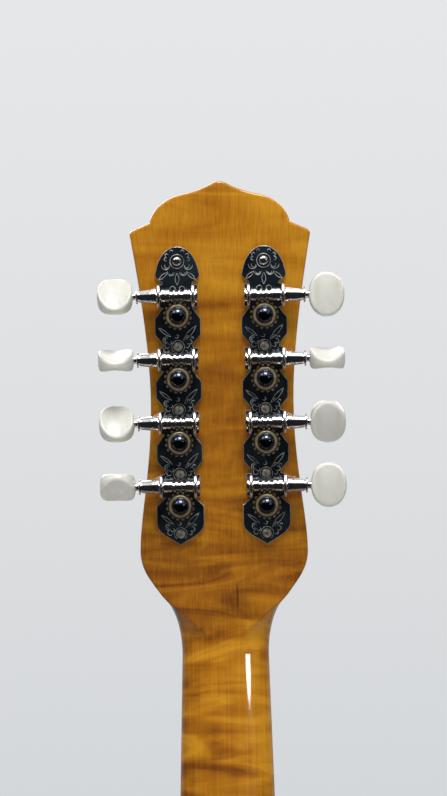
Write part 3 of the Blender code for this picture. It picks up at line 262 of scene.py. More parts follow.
def carved(mesh, tool):
    """The mesh with the tool's mesh cut out of it."""
    whole = bpy.data.objects.new("whole", mesh)
    cutter = bpy.data.objects.new("cutter", tool)
    for each in (whole, cutter):
        scene.collection.objects.link(each)
    cut = whole.modifiers.new("cut", "BOOLEAN")
    cut.object = cutter
    cut.operation = "DIFFERENCE"
    cut.solver = "EXACT"
    made = bpy.data.meshes.new_from_object(whole.evaluated_get(bpy.context.evaluated_depsgraph_get()))
    for each in (whole, cutter):
        bpy.data.objects.remove(each)
    return made


def smooth(value):
    held = min(1.0, max(0.0, value))
    return held * held * (3 - 2 * held)


# The neck's edge from its heel up to the headstock's peak, as (half width, height) in mm.
# The headstock leans back 14 degrees from the nut, and its flat back runs out on the neck in a V.
HEADSTOCK_PITCH = math.radians(14)
HEADSTOCK_TILT = Matrix.Rotation(-HEADSTOCK_PITCH, 4, "X")
heel_end = -180.9
edge_line = []
for s in [heel_end + 32 * k / 14 for k in range(14)] + [heel_end + 32 + (-60 - heel_end - 32) * k / 10 for k in range(10)]:
    edge_line.append((15.6 + 0.02611 * (-5 - s), s))
edge_line += [(15.6 + 0.02611 * (-5 - s), s) for s in (-60, -52, -44, -36, -30, -26, -23, -20.5, -18.5, -16.5)]
edge_line += bezier((15.86, -15.0), (15.86, 9.3), (30.5, 11.3), (30.5, 24.9), 44)
edge_line += bezier((30.5, 24.9), (30.5, 38.0), (25.95, 54.9), (25.95, 79.4), 14)
edge_line += bezier((25.95, 79.4), (25.95, 99.7), (30.15, 125.0), (32.68, 139.9), 14)
edge_line += bezier((32.68, 139.9), (32.84, 140.85), (32.5, 141.45), (31.6, 141.85), 8)
edge_line += bezier((31.6, 141.85), (30, 142.5), (27, 143.9), (25.45, 144.5), 4)
edge_line += bezier((25.45, 144.5), (24.75, 149.0), (20.4, 153.5), (13.4, 154.8), 18)
edge_line += bezier((13.4, 154.8), (8.4, 155.8), (5.0, 157.4), (2.2, 158.85), 9)
edge_line += bezier((2.2, 158.85), (1.4, 159.25), (0.7, 159.4), (0, 159.4), 4) + [(0, 159.4)]
v_line = ((-14.5, 0), (-9.4, 5.6), (-4.5, 11.1), (0.66, 15.6), (5.1, 19.8), (10, 24.1), (14, 27.1), (19, 40))

SIDE_POINTS = 14
CORNER_POINTS = 5
columns = []
for i, (half, s) in enumerate(edge_line):
    before, after = edge_line[max(i - 1, 0)], edge_line[min(i + 1, len(edge_line) - 1)]
    along = Vector((after[0] - before[0], after[1] - before[1])).normalized()
    if i == len(edge_line) - 1:
        along = Vector((-1, 0))
    inward = Vector((-1, 0)) if s < 24.9 else Vector((-along.y, along.x))
    lean_here = HEADSTOCK_PITCH * smooth((s + 9) / 18)
    plane = (14.2 + min(s, 0) * math.sin(HEADSTOCK_PITCH)) / math.cos(HEADSTOCK_PITCH - lean_here)
    heel = min(1.0, max(0.0, (heel_end + 32 - s) / 32))
    round_back = 12.4 + (2.6 * min(1.0, s / heel_end) if s < 0 else 0) + 29 * heel**2.2
    deep = (plane + round_back + math.hypot(plane - round_back, 0.5)) / 2 if s < 4 else plane
    flat = 0.0
    for (low_s, low_half), (high_s, high_half) in zip(v_line, v_line[1:]):
        if low_s <= s <= high_s:
            flat = low_half + (high_half - low_half) * (s - low_s) / (high_s - low_s)
    flat = half if s > 19 else min(half, flat)
    sweep = math.radians(90 - 27 * smooth(flat / 6))

    def side_at(angle):
        x = flat + (half - flat) * (math.cos(angle) - math.cos(sweep)) / (1 - math.cos(sweep))
        return Vector((x, 2.0 + (deep - 2.0) * math.sin(angle) / math.sin(sweep)))

    corner = side_at(sweep)
    near, far = 0.0, sweep
    for halving in range(18):
        middle = (near + far) / 2
        near, far = (middle, far) if (corner - side_at(middle)).length > 1.1 else (near, middle)
    points = [Vector((half, 0))] + [side_at(near * k / (SIDE_POINTS - 1)) for k in range(SIDE_POINTS)]
    landing = Vector((max(0.0, flat - 1.1) if s < 24.9 else half - 1.1, deep))
    for k in range(1, CORNER_POINTS + 1):
        t = k / CORNER_POINTS
        points.append(points[SIDE_POINTS] * (1 - t) ** 2 + corner * 2 * t * (1 - t) + landing * t * t)
    up = Vector((0, math.sin(HEADSTOCK_PITCH), math.cos(HEADSTOCK_PITCH))) if s > 0 else Vector((0, 0, 1))
    out = Vector((0, math.cos(lean_here), -math.sin(lean_here)))
    column = []
    for x, y in points:
        place = Vector((half, s)) + inward * (half - x)
        column.append((Vector((max(place.x, 0), 0, 0)) + up * place.y + out * y) * MM)
    columns.append(column)
work = bmesh.new()
right = [[work.verts.new(point) for point in column] for column in columns]
left = [[work.verts.new((-point.x, point.y, point.z)) for point in column] for column in columns]
fold = next(i for i, (half, s) in enumerate(edge_line) if s >= 24.9)
for i in range(len(columns) - 1):
    for j in range(len(columns[0]) - 1):
        work.faces.new((right[i][j], right[i][j + 1], right[i + 1][j + 1], right[i + 1][j]))
        work.faces.new((left[i][j], left[i + 1][j], left[i + 1][j + 1], left[i][j + 1]))
    if i < fold:
        for row in (0, -1):
            work.faces.new((right[i][row], right[i + 1][row], left[i + 1][row], left[i][row]))
for row in (0, -1):
    work.faces.new([column[row] for column in right[fold:]] + [column[row] for column in reversed(left[fold:])])
work.faces.new(right[0] + left[0][::-1])
bmesh.ops.remove_doubles(work, verts=work.verts, dist=0.00002)
bmesh.ops.dissolve_degenerate(work, dist=0.00001, edges=work.edges)
bmesh.ops.recalc_face_normals(work, faces=work.faces)
neck_blank = bpy.data.meshes.new("neck_blank")
work.to_mesh(neck_blank)
work.free()
neck_blank.materials.append(maple)

# Eight post bores and the slot for the neck bar are cut, and the part under the board's end is added.
tool = bmesh.new()
for x in (-15.7, 15.7):
    for row in range(4):
        bore_place = HEADSTOCK_TILT @ Matrix.Translation((x * MM, 6 * MM, (42 + 23 * row) * MM))
        bmesh.ops.create_cone(
            tool, cap_ends=True, segments=28, radius1=3.3 * MM, radius2=3.3 * MM, depth=40 * MM,
            matrix=bore_place @ Matrix.Rotation(math.pi / 2, 4, "X"),
        )
bmesh.ops.create_cube(
    tool, size=1,
    matrix=Matrix.Translation((0, 2.9 * MM, -88 * MM)) @ Matrix.Diagonal((4.6 * MM, 7.8 * MM, 150.6 * MM, 1)),
)
bores = bpy.data.meshes.new("neck_bores")
tool.to_mesh(bores)
tool.free()
neck_mesh = carved(neck_blank, bores)
work = bmesh.new()
work.from_mesh(neck_mesh)
board_end = -5 - 352.4 * (1 - 2 ** (-17 / 12)) - 5
for low_corner, high_corner in (
    ((-15.6, 0, board_end + 2), (15.6, 2.7, heel_end + 3)),
    ((-9, 10, -193.2), (9, 36, heel_end + 2)),
):
    size = [(b - a) * MM for a, b in zip(low_corner, high_corner)]
    middle = [(a + b) / 2 * MM for a, b in zip(low_corner, high_corner)]
    bmesh.ops.create_cube(work, size=1, matrix=Matrix.Translation(middle) @ Matrix.Diagonal((*size, 1)))
work.to_mesh(neck_mesh)
work.free()
neck_mesh.shade_smooth()
neck_mesh.set_sharp_from_angle(angle=math.radians(38))
neck = bpy.data.objects.new("carved_neck", neck_mesh)
scene.collection.objects.link(neck)
planed = neck.modifiers.new("planed_faces", "WEIGHTED_NORMAL")
planed.keep_sharp = True
planed.weight = 100
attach(neck, "body")
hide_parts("neck")


# Body: a flat back, bent sides and a thin top with a round opening and two f-holes, lacquered amber.
# Each plate is sawn to the outline, glued to the sides, and edged with a strip of cream binding.
SADDLE_Z = -357.4 * MM
JOINT_Z = -181.2 * MM


def circle(centre, radius, sides):
    turns = [2 * math.pi * k / sides for k in range(sides)]
    return [(centre[0] + radius * math.cos(a), centre[1] + radius * math.sin(a)) for a in turns]


def inset(ring, distance):
    moved = []
    for i, (x, z) in enumerate(ring):
        before, after = ring[i - 1], ring[(i + 1) % len(ring)]
        along = Vector((after[0] - before[0], after[1] - before[1])).normalized()
        moved.append((x + distance * along.y, z - distance * along.x))
    return moved


def cut_sheet(name, outlines, thickness, edge, finish, place, rounding=2):
    """A flat sheet in X and Z, cut to closed outlines (the first its edge), with rounded rims."""
    data = bpy.data.curves.new(name, "CURVE")
    data.dimensions = "2D"
    data.fill_mode = "BOTH"
    data.extrude = thickness / 2 - edge
    data.bevel_depth = edge
    data.bevel_resolution = rounding
    data.offset = -edge
    for outline in outlines:
        spline = data.splines.new("POLY")
        spline.points.add(len(outline) - 1)
        spline.use_cyclic_u = True
        for point, (u, v) in zip(spline.points, outline):
            point.co = (u, v, 0, 1)
    data.materials.append(finish)
    made = bpy.data.objects.new(name, data)
    scene.collection.objects.link(made)
    made.matrix_world = place @ Matrix.Rotation(math.pi / 2, 4, "X")
    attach(made, "body")
    return made


lacquers = {}
for plate, dark, light in (
    ("back", (0.25, 0.090, 0.010, 1), (0.54, 0.225, 0.026, 1)),
    ("sides", (0.23, 0.082, 0.009, 1), (0.51, 0.205, 0.024, 1)),
    ("top", (0.38, 0.165, 0.025, 1), (0.62, 0.300, 0.055, 1)),
):
    lacquers[plate] = bpy.data.materials.new("lacquered_" + plate)
    lacquers[plate].use_nodes = True
    wood = Wire(lacquers[plate].node_tree)
    spot = wood.node("TexCoord", output=3)
    fine = wood.node("Mapping", None, {"Vector": spot, "Scale": (700, 12 if plate != "sides" else 700, 200)})
    grain = wood.node("TexNoise", None, {"Vector": fine, "Scale": 1.0, "Detail": 5.0, "Roughness": 0.6})
    wide = wood.node("Mapping", None, {"Vector": spot, "Scale": (14, 95, 12)})
    flame = wood.node("TexNoise", None, {"Vector": wide, "Scale": 1.0, "Detail": 2.0, "Distortion": 0.7})
    shine = lacquers[plate].node_tree.nodes["Principled BSDF"]
    colour = wood.node("ValToRGB", {"stops": [(0.32, dark), (0.66, light)]}, {0: 0.45 * grain + 0.55 * flame})
    wood.feed(shine.inputs["Base Color"], colour)
    wood.feed(shine.inputs["Roughness"], 0.30 + 0.12 * flame)
    shine.inputs["Coat Weight"].default_value = 0.9
    shine.inputs["Coat Roughness"].default_value = 0.05

binding = bpy.data.materials.new("cream_binding")
binding.use_nodes = True
surface = Wire(binding.node_tree)
spot = surface.node("TexCoord", output=3)
cloud = surface.node("TexNoise", None, {"Vector": spot, "Scale": 60.0, "Detail": 3.0})
colour = surface.node("ValToRGB", {"stops": [(0.35, (0.66, 0.57, 0.38, 1)), (0.65, (0.76, 0.68, 0.49, 1))]}, {0: cloud})
shine = binding.node_tree.nodes["Principled BSDF"]
surface.feed(shine.inputs["Base Color"], colour)
surface.feed(shine.inputs["Roughness"], 0.24 + 0.1 * cloud)

widest_z = -395.2 * MM
tail_z = -516.2 * MM
flank = bezier((24 * MM, JOINT_Z), (72.3 * MM, -183.8 * MM), (129 * MM, -288.2 * MM), (129 * MM, widest_z), 56)
flank += bezier((129 * MM, widest_z), (129 * MM, -467.8 * MM), (64.5 * MM, tail_z), (0, tail_z), 44)
flank.append((0, tail_z))
outline = [(0, JOINT_Z)] + flank + [(-x, z) for x, z in reversed(flank[:-1])]

f_holes = []
for side in (-1, 1):
    stem = bezier((-7, 25), (2, 30), (4, 8), (0, 0), 14) + bezier((0, 0), (-4, -8), (-2, -30), (7, -25), 14) + [(7, -25)]
    edges = ([], [])
    for i, (x, z) in enumerate(stem):
        before, after = stem[max(i - 1, 0)], stem[min(i + 1, len(stem) - 1)]
        along = Vector((after[0] - before[0], after[1] - before[1])).normalized()
        wide = 2.5 * (0.45 + 0.55 * math.sin(math.pi * i / (len(stem) - 1)))
        for edge, sign in zip(edges, (1, -1)):
            edge.append((x - sign * wide * along.y, z + sign * wide * along.x))
    eyes = [(-6, 25), (6, -25)]
    open_edges = [[p for p in edge if all(math.dist(p, eye) > 4.6 for eye in eyes)] for edge in edges]
    loop = list(open_edges[0])
    for eye, start, end in ((eyes[1], open_edges[0][-1], open_edges[1][-1]), (eyes[0], open_edges[1][0], open_edges[0][0])):
        first = math.atan2(start[1] - eye[1], start[0] - eye[0])
        sweep = math.atan2(end[1] - eye[1], end[0] - eye[0]) - first
        sweep -= 2 * math.pi * round(sweep / (2 * math.pi))
        sweep -= math.copysign(2 * math.pi, sweep)
        loop += [(eye[0] + 4.6 * math.cos(first + sweep * k / 23), eye[1] + 4.6 * math.sin(first + sweep * k / 23)) for k in range(24)]
        if eye is eyes[1]:
            loop += list(reversed(open_edges[1]))
    f_holes.append([(side * (62 + x) * MM, JOINT_Z + (z - 62) * MM) for x, z in loop])

mouth = circle((0, SADDLE_Z), 77 * MM, 96)
top = cut_sheet(
    "bookmatched_top", [inset(outline, 0.3 * MM), mouth] + f_holes, 3.2 * MM, 0.25 * MM, lacquers["top"],
    Matrix.Translation((0, 4.6 * MM, 0)),
)
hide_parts("body_top")
back = cut_sheet(
    "flat_back", [inset(outline, 0.3 * MM)], 3.2 * MM, 0.25 * MM, lacquers["back"],
    Matrix.Translation((0, 51.4 * MM, 0)),
)
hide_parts("body_back")
sides = cut_sheet(
    "bent_sides", [outline, inset(outline, 2.6 * MM)], 43.0 * MM, 0.2 * MM, lacquers["sides"],
    Matrix.Translation((0, 28.0 * MM, 0)), 1,
)
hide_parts("body_sides")
for name, depth in (("top_binding", 4.6 * MM), ("back_binding", 51.4 * MM)):
    cut_sheet(
        name, [inset(outline, -0.1 * MM), inset(outline, 1.6 * MM)], 3.6 * MM, 0.4 * MM, binding,
        Matrix.Translation((0, depth, 0)),
    )


# Unseen wood: the blocks, the soundwell, the biscuit and its maple saddle, planed and left bare.
# The blocks are glued inside the sides, and the saddle stands in the biscuit's slot.
bare = bpy.data.materials.new("bare_wood")
bare.use_nodes = True
wood = Wire(bare.node_tree)
spot = wood.node("TexCoord", output=3)
fine = wood.node("Mapping", None, {"Vector": spot, "Scale": (500, 500, 20)})
grain = wood.node("TexNoise", None, {"Vector": fine, "Scale": 1.0, "Detail": 4.0})
colour = wood.node("ValToRGB", {"stops": [(0.3, (0.42, 0.25, 0.11, 1)), (0.7, (0.66, 0.46, 0.25, 1))]}, {0: grain})
shine = bare.node_tree.nodes["Principled BSDF"]
wood.feed(shine.inputs["Base Color"], colour)
wood.feed(shine.inputs["Roughness"], 0.55 + 0.15 * grain)
for node in ("neck_block", "tail_block", "soundwell", "biscuit", "saddle"):
    for index in range(len(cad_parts[node].material_slots)):
        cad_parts[node].material_slots[index].material = bare


# Fingerboard and headstock face: ebony, oiled rather than lacquered, glued on.
# The fingerboard's frets are part of its solid, so their height picks their nickel silver.
for node, fret_line in (("fingerboard", -6.9 * MM), ("headstock_overlay", -1.0)):
    ebony = bpy.data.materials.new(node + "_ebony")
    ebony.use_nodes = True
    wood = Wire(ebony.node_tree)
    spot = wood.node("TexCoord", output=3)
    fine = wood.node("Mapping", None, {"Vector": spot, "Scale": (1100, 300, 30)})
    grain = wood.node("TexNoise", None, {"Vector": fine, "Scale": 1.0, "Detail": 5.0})
    dark = wood.node("ValToRGB", {"stops": [(0.3, (0.007, 0.006, 0.005, 1)), (0.7, (0.028, 0.020, 0.015, 1))]}, {0: grain})
    metal = wood.node("SeparateXYZ", None, {"Vector": spot}, 1).math("LESS_THAN", fret_line)
    colour = wood.node("Mix", {"data_type": "RGBA"}, {0: metal, 6: dark, 7: (0.62, 0.60, 0.55, 1)}, 2)
    shine = ebony.node_tree.nodes["Principled BSDF"]
    wood.feed(shine.inputs["Base Color"], colour)
    wood.feed(shine.inputs["Metallic"], metal)
    wood.feed(shine.inputs["Roughness"], 0.42 + 0.1 * grain - 0.22 * metal)
    for index in range(len(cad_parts[node].material_slots)):
        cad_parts[node].material_slots[index].material = ebony


# Fret markers: small discs of mother-of-pearl let into the ebony between the frets.
# They stand a hair proud, one at each of frets 3, 5, 7, 10 and 15, and two at fret 12.
def lathe(name, profile, steps, finish, sharp=40):
    """A mesh turned about Y from (radius, height) points in mm, closed if it ends off the axis."""
    work = bmesh.new()
    rings = []
    for radius, height in profile:
        if radius == 0:
            rings.append([work.verts.new((0, height * MM, 0))])
            continue
        ring = []
        for k in range(steps):
            angle = 2 * math.pi * k / steps
            ring.append(work.verts.new((radius * MM * math.cos(angle), height * MM, radius * MM * math.sin(angle))))
        rings.append(ring)
    joins = list(zip(rings, rings[1:]))
    if profile[0][0] and profile[-1][0]:
        joins.append((rings[-1], rings[0]))
    for ring, following in joins:
        for k in range(steps):
            after = (k + 1) % steps
            if len(ring) == 1:
                work.faces.new((ring[0], following[after], following[k]))
            elif len(following) == 1:
                work.faces.new((ring[k], ring[after], following[0]))
            else:
                work.faces.new((ring[k], ring[after], following[after], following[k]))
    bmesh.ops.recalc_face_normals(work, faces=work.faces)
    made = bpy.data.meshes.new(name)
    work.to_mesh(made)
    work.free()
    made.shade_smooth()
    made.set_sharp_from_angle(angle=math.radians(sharp))
    made.materials.append(finish)
    return made


def put(name, mesh, place, body):
    made = bpy.data.objects.new(name, mesh)
    scene.collection.objects.link(made)
    made.matrix_world = place
    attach(made, body)
    return made


pearl = bpy.data.materials.new("mother_of_pearl")
pearl.use_nodes = True
surface = Wire(pearl.node_tree)
spot = surface.node("TexCoord", output=3)
cloud = surface.node("TexNoise", None, {"Vector": spot, "Scale": 500.0, "Detail": 2.0, "Distortion": 1.5})
pearl_stops = [(0.35, (0.50, 0.58, 0.58, 1)), (0.5, (0.72, 0.73, 0.70, 1)), (0.65, (0.74, 0.62, 0.64, 1))]
shine = pearl.node_tree.nodes["Principled BSDF"]
surface.feed(shine.inputs["Base Color"], surface.node("ValToRGB", {"stops": pearl_stops}, {0: cloud}))
surface.feed(shine.inputs["Roughness"], 0.15 + 0.1 * cloud)
dot = lathe("pearl_dot", [(0, -0.12), (2.3, -0.12), (2.4, -0.05), (2.4, 0.3), (0, 0.3)], 24, pearl)
for fret, shift in ((3, 0), (5, 0), (7, 0), (10, 0), (12, -6.5), (12, 6.5), (15, 0)):
    beside = [-5 - 352.4 * (1 - 2 ** (-n / 12)) for n in (fret - 1, fret)]
    place = Matrix.Translation((shift * MM, -6.8 * MM, sum(beside) / 2 * MM))
    put(f"fret_marker_{fret}_{'left' if shift < 0 else 'right' if shift else 'middle'}", dot, place, "body")


# Post bushings: turned nickel rings pressed into the headstock's face, one round each post.
# Each covers the plain ring of the ebony solid that it is pressed over.
POST_HEIGHTS = {"g1": 42, "g2": 65, "d1": 88, "d2": 111, "e1": 42, "e2": 65, "a1": 88, "a2": 111}
PLATE_X = 15.7
nickel = bpy.data.materials.new("nickel_plate")
nickel.use_nodes = True
surface = Wire(nickel.node_tree)
spot = surface.node("TexCoord", output=3)
haze = surface.node("TexNoise", None, {"Vector": spot, "Scale": 60.0, "Detail": 6.0})
colour = surface.node("ValToRGB", {"stops": [(0.35, (0.60, 0.58, 0.53, 1)), (0.65, (0.72, 0.70, 0.66, 1))]}, {0: haze})
shine = nickel.node_tree.nodes["Principled BSDF"]
shine.inputs["Metallic"].default_value = 1.0
surface.feed(shine.inputs["Base Color"], colour)
surface.feed(shine.inputs["Roughness"], 0.10 + 0.12 * haze)
bushing = lathe("bushing", [(3.35, -1.7), (5.2, -1.7), (5.2, -2.55), (4.9, -2.85), (3.7, -2.85), (3.35, -2.6)], 40, nickel)
for tuner, height in POST_HEIGHTS.items():
    side = 1 if tuner[0] in "ea" else -1
    put("bushing_" + tuner, bushing, HEADSTOCK_TILT @ Matrix.Translation((side * PLATE_X * MM, 0, height * MM)), "body")


# Nut: bleached bone, filed and polished, slotted for eight strings and glued to the neck.
# Fine pores run along it, and its polished top is a little warmer than fresh plastic.
bone = bpy.data.materials.new("polished_bone")
bone.use_nodes = True
surface = Wire(bone.node_tree)
spot = surface.node("TexCoord", output=3)
fine = surface.node("Mapping", None, {"Vector": spot, "Scale": (120, 900, 900)})
pores = surface.node("TexNoise", None, {"Vector": fine, "Scale": 1.0, "Detail": 4.0})
colour = surface.node("ValToRGB", {"stops": [(0.35, (0.70, 0.62, 0.47, 1)), (0.6, (0.84, 0.79, 0.67, 1))]}, {0: pores})
shine = bone.node_tree.nodes["Principled BSDF"]
surface.feed(shine.inputs["Base Color"], colour)
surface.feed(shine.inputs["Roughness"], 0.3 + 0.15 * pores)
shine.inputs["Subsurface Weight"].default_value = 0.1
for index in range(len(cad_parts["nut"].material_slots)):
    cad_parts["nut"].material_slots[index].material = bone


# Cone: spun aluminium, with the fine rings that the spinning tool leaves.
# Its flat rim rests on the soundwell's ledge, and the biscuit is screwed to its flat middle.
spun = bpy.data.materials.new("spun_aluminium")
spun.use_nodes = True
surface = Wire(spun.node_tree)
spot = surface.node("TexCoord", output=3)
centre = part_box("cone")
middle = (centre[0] + centre[1]) / 2
across = surface.node("SeparateXYZ", None, {"Vector": spot}, 0) - middle.x
along = surface.node("SeparateXYZ", None, {"Vector": spot}, 2) - middle.z
radius = (across * across + along * along).math("SQRT")
rings = surface.node("TexNoise", {"noise_dimensions": "1D"}, {"W": radius * 2500, "Detail": 3.0})
shine = spun.node_tree.nodes["Principled BSDF"]
shine.inputs["Metallic"].default_value = 1.0
colour = surface.node("ValToRGB", {"stops": [(0.3, (0.50, 0.51, 0.53, 1)), (0.7, (0.66, 0.67, 0.69, 1))]}, {0: rings})
surface.feed(shine.inputs["Base Color"], colour)
surface.feed(shine.inputs["Roughness"], 0.26 + 0.16 * rings)
for index in range(len(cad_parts["cone"].material_slots)):
    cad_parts["cone"].material_slots[index].material = spun


# Coverplate: pressed brass plated with nickel, with a flat rim, a dome and two rings of holes.
# Nine small dome screws hold its rim to the top.
dome = [
    (27.0, -4.2), (27.4, -4.0), (46.0, -4.0), (72.0, -0.65), (76.0, 0.42), (79.0, 2.7), (89.8, 2.7), (90.0, 2.4),
    (90.0, 2.0), (89.7, 1.75), (79.7, 1.7), (79.1, 1.5), (76.5, -0.45), (76.0, -0.65), (72.4, -1.5), (46.6, -4.95),
    (45.6, -5.0), (27.4, -5.0), (27.0, -4.8),
]
plain_cover = lathe("plain_cover", dome, 120, nickel, 30)
work = bmesh.new()
for ring, (away, hole) in enumerate(((65.5, 3.3), (54.5, 2.5))):
    for k in range(14):
        angle = 2 * math.pi * (k + 0.5 * ring) / 14
        spot_at = Matrix.Translation((away * MM * math.cos(angle), 0, away * MM * math.sin(angle)))
        bmesh.ops.create_cone(
            work, cap_ends=True, segments=20, radius1=hole * MM, radius2=hole * MM, depth=24 * MM,
            matrix=spot_at @ Matrix.Rotation(math.pi / 2, 4, "X"),
        )
drills = bpy.data.meshes.new("cover_drills")
work.to_mesh(drills)
work.free()
cover_mesh = carved(plain_cover, drills)
cover_mesh.shade_smooth()
cover_mesh.set_sharp_from_angle(angle=math.radians(30))
cover = put("pressed_coverplate", cover_mesh, Matrix.Translation((0, 0, SADDLE_Z)), "body")
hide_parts("coverplate")

head = [(0, 0.85), (0.5, 0.82), (0.95, 0.70), (1.35, 0.48), (1.62, 0.22), (1.72, 0.0), (1.72, -0.3), (0, -0.3)]
small_screw = lathe("small_screw", head, 32, nickel)
for turn in (0, math.pi / 2):
    slot = bmesh.new()
    bmesh.ops.create_cube(
        slot, size=1, matrix=Matrix.Translation((0, 0.95 * MM, 0)) @ Matrix.Rotation(turn, 4, "Y")
        @ Matrix.Diagonal((2.0 * MM, 0.9 * MM, 0.42 * MM, 1)),
    )
    recess = bpy.data.meshes.new("screw_recess")
    slot.to_mesh(recess)
    slot.free()
    small_screw = carved(small_screw, recess)
small_screw.shade_smooth()
small_screw.set_sharp_from_angle(angle=math.radians(35))
for k in range(9):
    angle = 2 * math.pi * (k + 0.25) / 9
    place = Matrix.Translation((84.6 * MM * math.cos(angle), 1.75 * MM, SADDLE_Z + 84.6 * MM * math.sin(angle)))
    put(f"cover_screw_{k + 1}", small_screw, place @ Matrix.Rotation(math.pi, 4, "X"), "body")


# Handrest and tailpiece: bent strips of nickelled steel, one over the saddle, one that holds the strings.
# Their edges are rounded in the press, and two screws hold each of the handrest's feet.
for node in ("handrest", "tailpiece"):
    strip_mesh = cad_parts[node].data.copy()
    work = bmesh.new()
    work.from_mesh(strip_mesh)
    bmesh.ops.remove_doubles(work, verts=work.verts, dist=0.00001)
    bmesh.ops.dissolve_limit(work, angle_limit=math.radians(1.0), verts=work.verts, edges=work.edges)
    work.to_mesh(strip_mesh)
    work.free()
    strip_mesh.shade_smooth()
    strip_mesh.materials.clear()
    strip_mesh.materials.append(nickel)
    strip = put("bent_" + node, strip_mesh, Matrix.Identity(4), "body")
    press = strip.modifiers.new("pressed_edge", "BEVEL")
    press.width = 0.3 * MM
    press.segments = 2
    press.limit_method = "ANGLE"
    press.angle_limit = math.radians(50)
    press.harden_normals = True
    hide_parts(node)
for side in (-1, 1):
    for number, along in enumerate((-7, 7)):
        place = Matrix.Translation((side * 35.6 * MM, -6.5 * MM, SADDLE_Z + along * MM)) @ Matrix.Rotation(math.pi, 4, "X")
        put(f"rest_screw_{'left' if side < 0 else 'right'}_{number + 1}", small_screw, place, "body")


# End pin: a turned, nickelled button for the strap, whose shank goes through into the tail block.
# It also pins the tailpiece's lower end.
pin_profile = [
    (0, 16), (3, 14), (3, -0.6 - 1.2), (6.6, -1.8), (6.8, -2.1), (6.1, -3.5), (4.6, -5.0), (4.0, -6.8), (4.2, -8.6),
    (5.8, -10.2), (6.25, -11.0), (6.2, -12.6), (5.6, -13.6), (4.5, -13.8), (0, -13.8),
]
pin = put(
    "turned_end_pin", lathe("turned_end_pin", pin_profile, 48, nickel),
    Matrix.Translation((0, 28 * MM, tail_z)) @ Matrix.Rotation(math.pi / 2, 4, "X"), "body",
)
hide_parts("strap_button")


# Neck bar: a strip of carbon fibre glued into a slot under the fingerboard.
# Its strands run along the neck.
fibre = bpy.data.materials.new("carbon_strip")
fibre.use_nodes = True
surface = Wire(fibre.node_tree)
spot = surface.node("TexCoord", output=3)
fine = surface.node("Mapping", None, {"Vector": spot, "Scale": (2500, 2500, 60)})
strands = surface.node("TexNoise", None, {"Vector": fine, "Scale": 1.0, "Detail": 3.0})
colour = surface.node("ValToRGB", {"stops": [(0.3, (0.008, 0.008, 0.009, 1)), (0.7, (0.03, 0.03, 0.033, 1))]}, {0: strands})
shine = fibre.node_tree.nodes["Principled BSDF"]
surface.feed(shine.inputs["Base Color"], colour)
surface.feed(shine.inputs["Roughness"], 0.35 + 0.2 * strands)
for index in range(len(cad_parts["neck_bar"].material_slots)):
    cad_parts["neck_bar"].material_slots[index].material = fibre


# Strings: plain steel for the two high pairs, bronze wire wound on steel for the two low ones.
# Each runs from the tailpiece over the saddle and the nut to the turns round its post.
for course, base, finish in (
    ("e", (0.60, 0.60, 0.60, 1), 0.25),
    ("a", (0.60, 0.60, 0.60, 1), 0.25),
    ("d", (0.55, 0.31, 0.13, 1), 0.36),
    ("g", (0.55, 0.31, 0.13, 1), 0.36),
):
    wire_metal = bpy.data.materials.new("string_" + course)
    wire_metal.use_nodes = True
    surface = Wire(wire_metal.node_tree)
    spot = surface.node("TexCoord", output=3)
    wrap = (surface.node("SeparateXYZ", None, {"Vector": spot}, 2) * 14000).math("SINE") * 0.5 + 0.5
    tarnish = surface.node("TexNoise", None, {"Vector": spot, "Scale": 90.0, "Detail": 3.0})
    colour = surface.node("Mix", {"data_type": "RGBA"}, {0: tarnish * 0.4, 6: base, 7: (0.25, 0.18, 0.12, 1)}, 2)
    shine = wire_metal.node_tree.nodes["Principled BSDF"]
    shine.inputs["Metallic"].default_value = 1.0
    surface.feed(shine.inputs["Base Color"], colour)
    surface.feed(shine.inputs["Roughness"], finish + 0.15 * tarnish)
    if course in "dg":
        groove = surface.node("Bump", None, {"Strength": 0.4, "Distance": 0.0001, "Height": wrap})
        surface.feed(shine.inputs["Normal"], groove)
    for member in "12":
        for index in range(len(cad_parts[f"string_{course}{member}"].material_slots)):
            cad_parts[f"string_{course}{member}"].material_slots[index].material = wire_metal


# Tuner plates: two strips of brass, stamped to their outline, engraved and nickel plated, their faces painted near
# black as a dark reflection.
# Their rims are painted bright as a highlight, and sixteen ears, bent up in pairs, carry the worm shafts.
PLATE_FACE = 15.7
FIRST_POST = 42.0
ROW_PITCH = 23.0
WORM_ABOVE_POST = 7.1
WORM_DEPTH = 20.0
painted_dark_plate = bpy.data.materials.new("nickel_plate_painted_dark")
painted_dark_plate.use_nodes = True
surface = Wire(painted_dark_plate.node_tree)
spot = surface.node("TexCoord", output=3)
haze = surface.node("TexNoise", None, {"Vector": spot, "Scale": 90.0, "Detail": 5.0})
scratch = surface.node("Mapping", None, {"Vector": spot, "Scale": (1800, 200, 200), "Rotation": (0, 0, 0.5)})
scratches = surface.node("TexNoise", None, {"Vector": scratch, "Scale": 1.0, "Detail": 2.0})
# Painted dark reflection: the face's near-black colour stands in for the dark room that the polished nickel mirrors.
dark = surface.node("ValToRGB", {"stops": [(0.35, (0.007, 0.013, 0.019, 1)), (0.7, (0.030, 0.042, 0.052, 1))]}, {0: haze})
# Painted highlight: the rims and bevels are coloured pale nickel against the face.
painted_rim_highlight = 1 - surface.node("SeparateXYZ", None, {"Vector": spot}, 2).math("ABSOLUTE").math("GREATER_THAN", 0.585 * MM)
colour = surface.node("Mix", {"data_type": "RGBA"}, {0: painted_rim_highlight, 6: dark, 7: (0.46, 0.44, 0.40, 1)}, 2)
shine = painted_dark_plate.node_tree.nodes["Principled BSDF"]
shine.inputs["Metallic"].default_value = 0.45
surface.feed(shine.inputs["Base Color"], colour)
surface.feed(shine.inputs["Roughness"], 0.10 + 0.10 * haze + 0.12 * scratches)
shine.inputs["Coat Weight"].default_value = 0.3
shine.inputs["Coat Roughness"].default_value = 0.06

